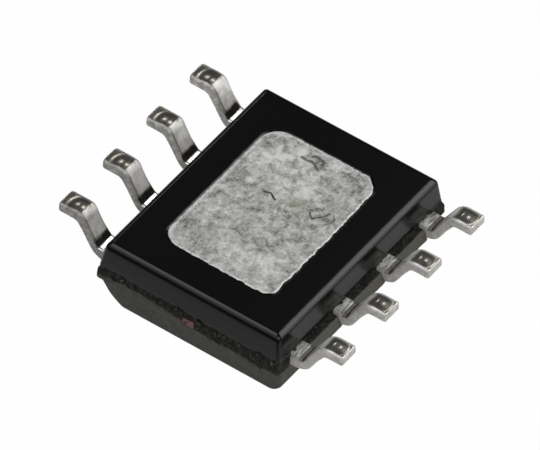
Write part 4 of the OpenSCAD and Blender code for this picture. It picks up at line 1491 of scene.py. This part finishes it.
# %% Sizes of the crumbs
CRUMB_INPUTS = {
    "Strip": ("NodeSocketGeometry", None),
    "Density": ("NodeSocketFloat", 130.0),
    "Smallest": ("NodeSocketFloat", 0.012),
    "Largest": ("NodeSocketFloat", 0.058),
    "Limit": ("NodeSocketVector", (2.2, HALF_Y - 0.001, 3.0)),
    "Seed": ("NodeSocketInt", 5),
    "Resin": ("NodeSocketMaterial", crumb_resin),
}
SHAPE_SEED, TURN_SEED = 11, 12
crumbs_tree = bpy.data.node_groups.new("resin_crumbs", "GeometryNodeTree")
tree = crumbs_tree
given = declare(tree, CRUMB_INPUTS)
print("sizes of the crumbs:", len(CRUMB_INPUTS))

# %% Tree of the crumbs
spread = add(tree, "GeometryNodeDistributePointsOnFaces", {"Mesh": given["Strip"],
             "Density": given["Density"], "Seed": given["Seed"]})
chip = add(tree, "GeometryNodeMeshIcoSphere", {"Radius": 1.0, "Subdivisions": 1})
size = add(tree, "FunctionNodeRandomValue", {2: given["Smallest"], 3: given["Largest"],
           "Seed": given["Seed"]}, data_type="FLOAT").outputs[1]
shape = add(tree, "FunctionNodeRandomValue", {0: (0.5, 0.5, 0.5), 1: (1.2, 1.2, 1.2),
            "Seed": SHAPE_SEED}, data_type="FLOAT_VECTOR")
turn = add(tree, "FunctionNodeRandomValue", {0: (0, 0, 0), 1: (math.tau,) * 3,
           "Seed": TURN_SEED}, data_type="FLOAT_VECTOR")
scale = add(tree, "ShaderNodeVectorMath", {0: shape, "Scale": size}, operation="SCALE")
chips = add(tree, "GeometryNodeInstanceOnPoints", {"Points": spread, "Instance": chip,
            "Rotation": turn, "Scale": scale})
chips = add(tree, "GeometryNodeRealizeInstances", {"Geometry": chips})
place = add(tree, "GeometryNodeInputPosition")
low_limit = add(tree, "ShaderNodeVectorMath", {0: (0, 0, 0), 1: given["Limit"]},
                operation="SUBTRACT")
level = add(tree, "ShaderNodeVectorMath", {0: place, 1: low_limit}, operation="MAXIMUM")
level = add(tree, "ShaderNodeVectorMath", {0: level, 1: given["Limit"]}, operation="MINIMUM")
chips = add(tree, "GeometryNodeSetPosition", {"Geometry": chips, "Position": level})
chips = add(tree, "GeometryNodeTransform", {"Geometry": chips, "Scale": (MM, MM, MM)})
chips = add(tree, "GeometryNodeSetMaterial", {"Geometry": chips, "Material": given["Resin"]})
add(tree, "NodeGroupOutput", {"Geometry": chips})
crumbs = grow_piece("resin_crumbs", crumbs_tree, CRUMB_INPUTS, strip)
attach(crumbs, "root")
print("crumbs:", len(crumbs.data.polygons), "faces")

# %% [markdown]
# ## The sealed inside
# The die, its solder and the bond wires are never seen, but they are part of the chip, so
# they get their own finishes: sawn silicon, tin solder and drawn gold.

# %% Materials of the inner nodes
inner = {"silicon_die": mottled_finish("sawn_silicon", "#4c535c", "#6a7480", 0.1, 0.3, 0.25),
         "die_attach": mottled_finish("tin_solder", "#84868a", "#a0a2a6", 0.06, 1.0, 0.4)}
gold = mottled_finish("drawn_gold_wire", "#c89a3e", "#e6bd62", 0.02, 1.0, 0.22)
inner.update({f"bond_wire_{n}": gold for n in range(1, 9)})
for name, material in inner.items():
    data = frame["nodes"][name].data
    data.materials.clear()
    data.materials.append(material)
print("inner nodes:", ", ".join(inner))

# %% Finish
bpy.context.scene.view_settings.view_transform = "Standard"
bpy.context.view_layer.update()
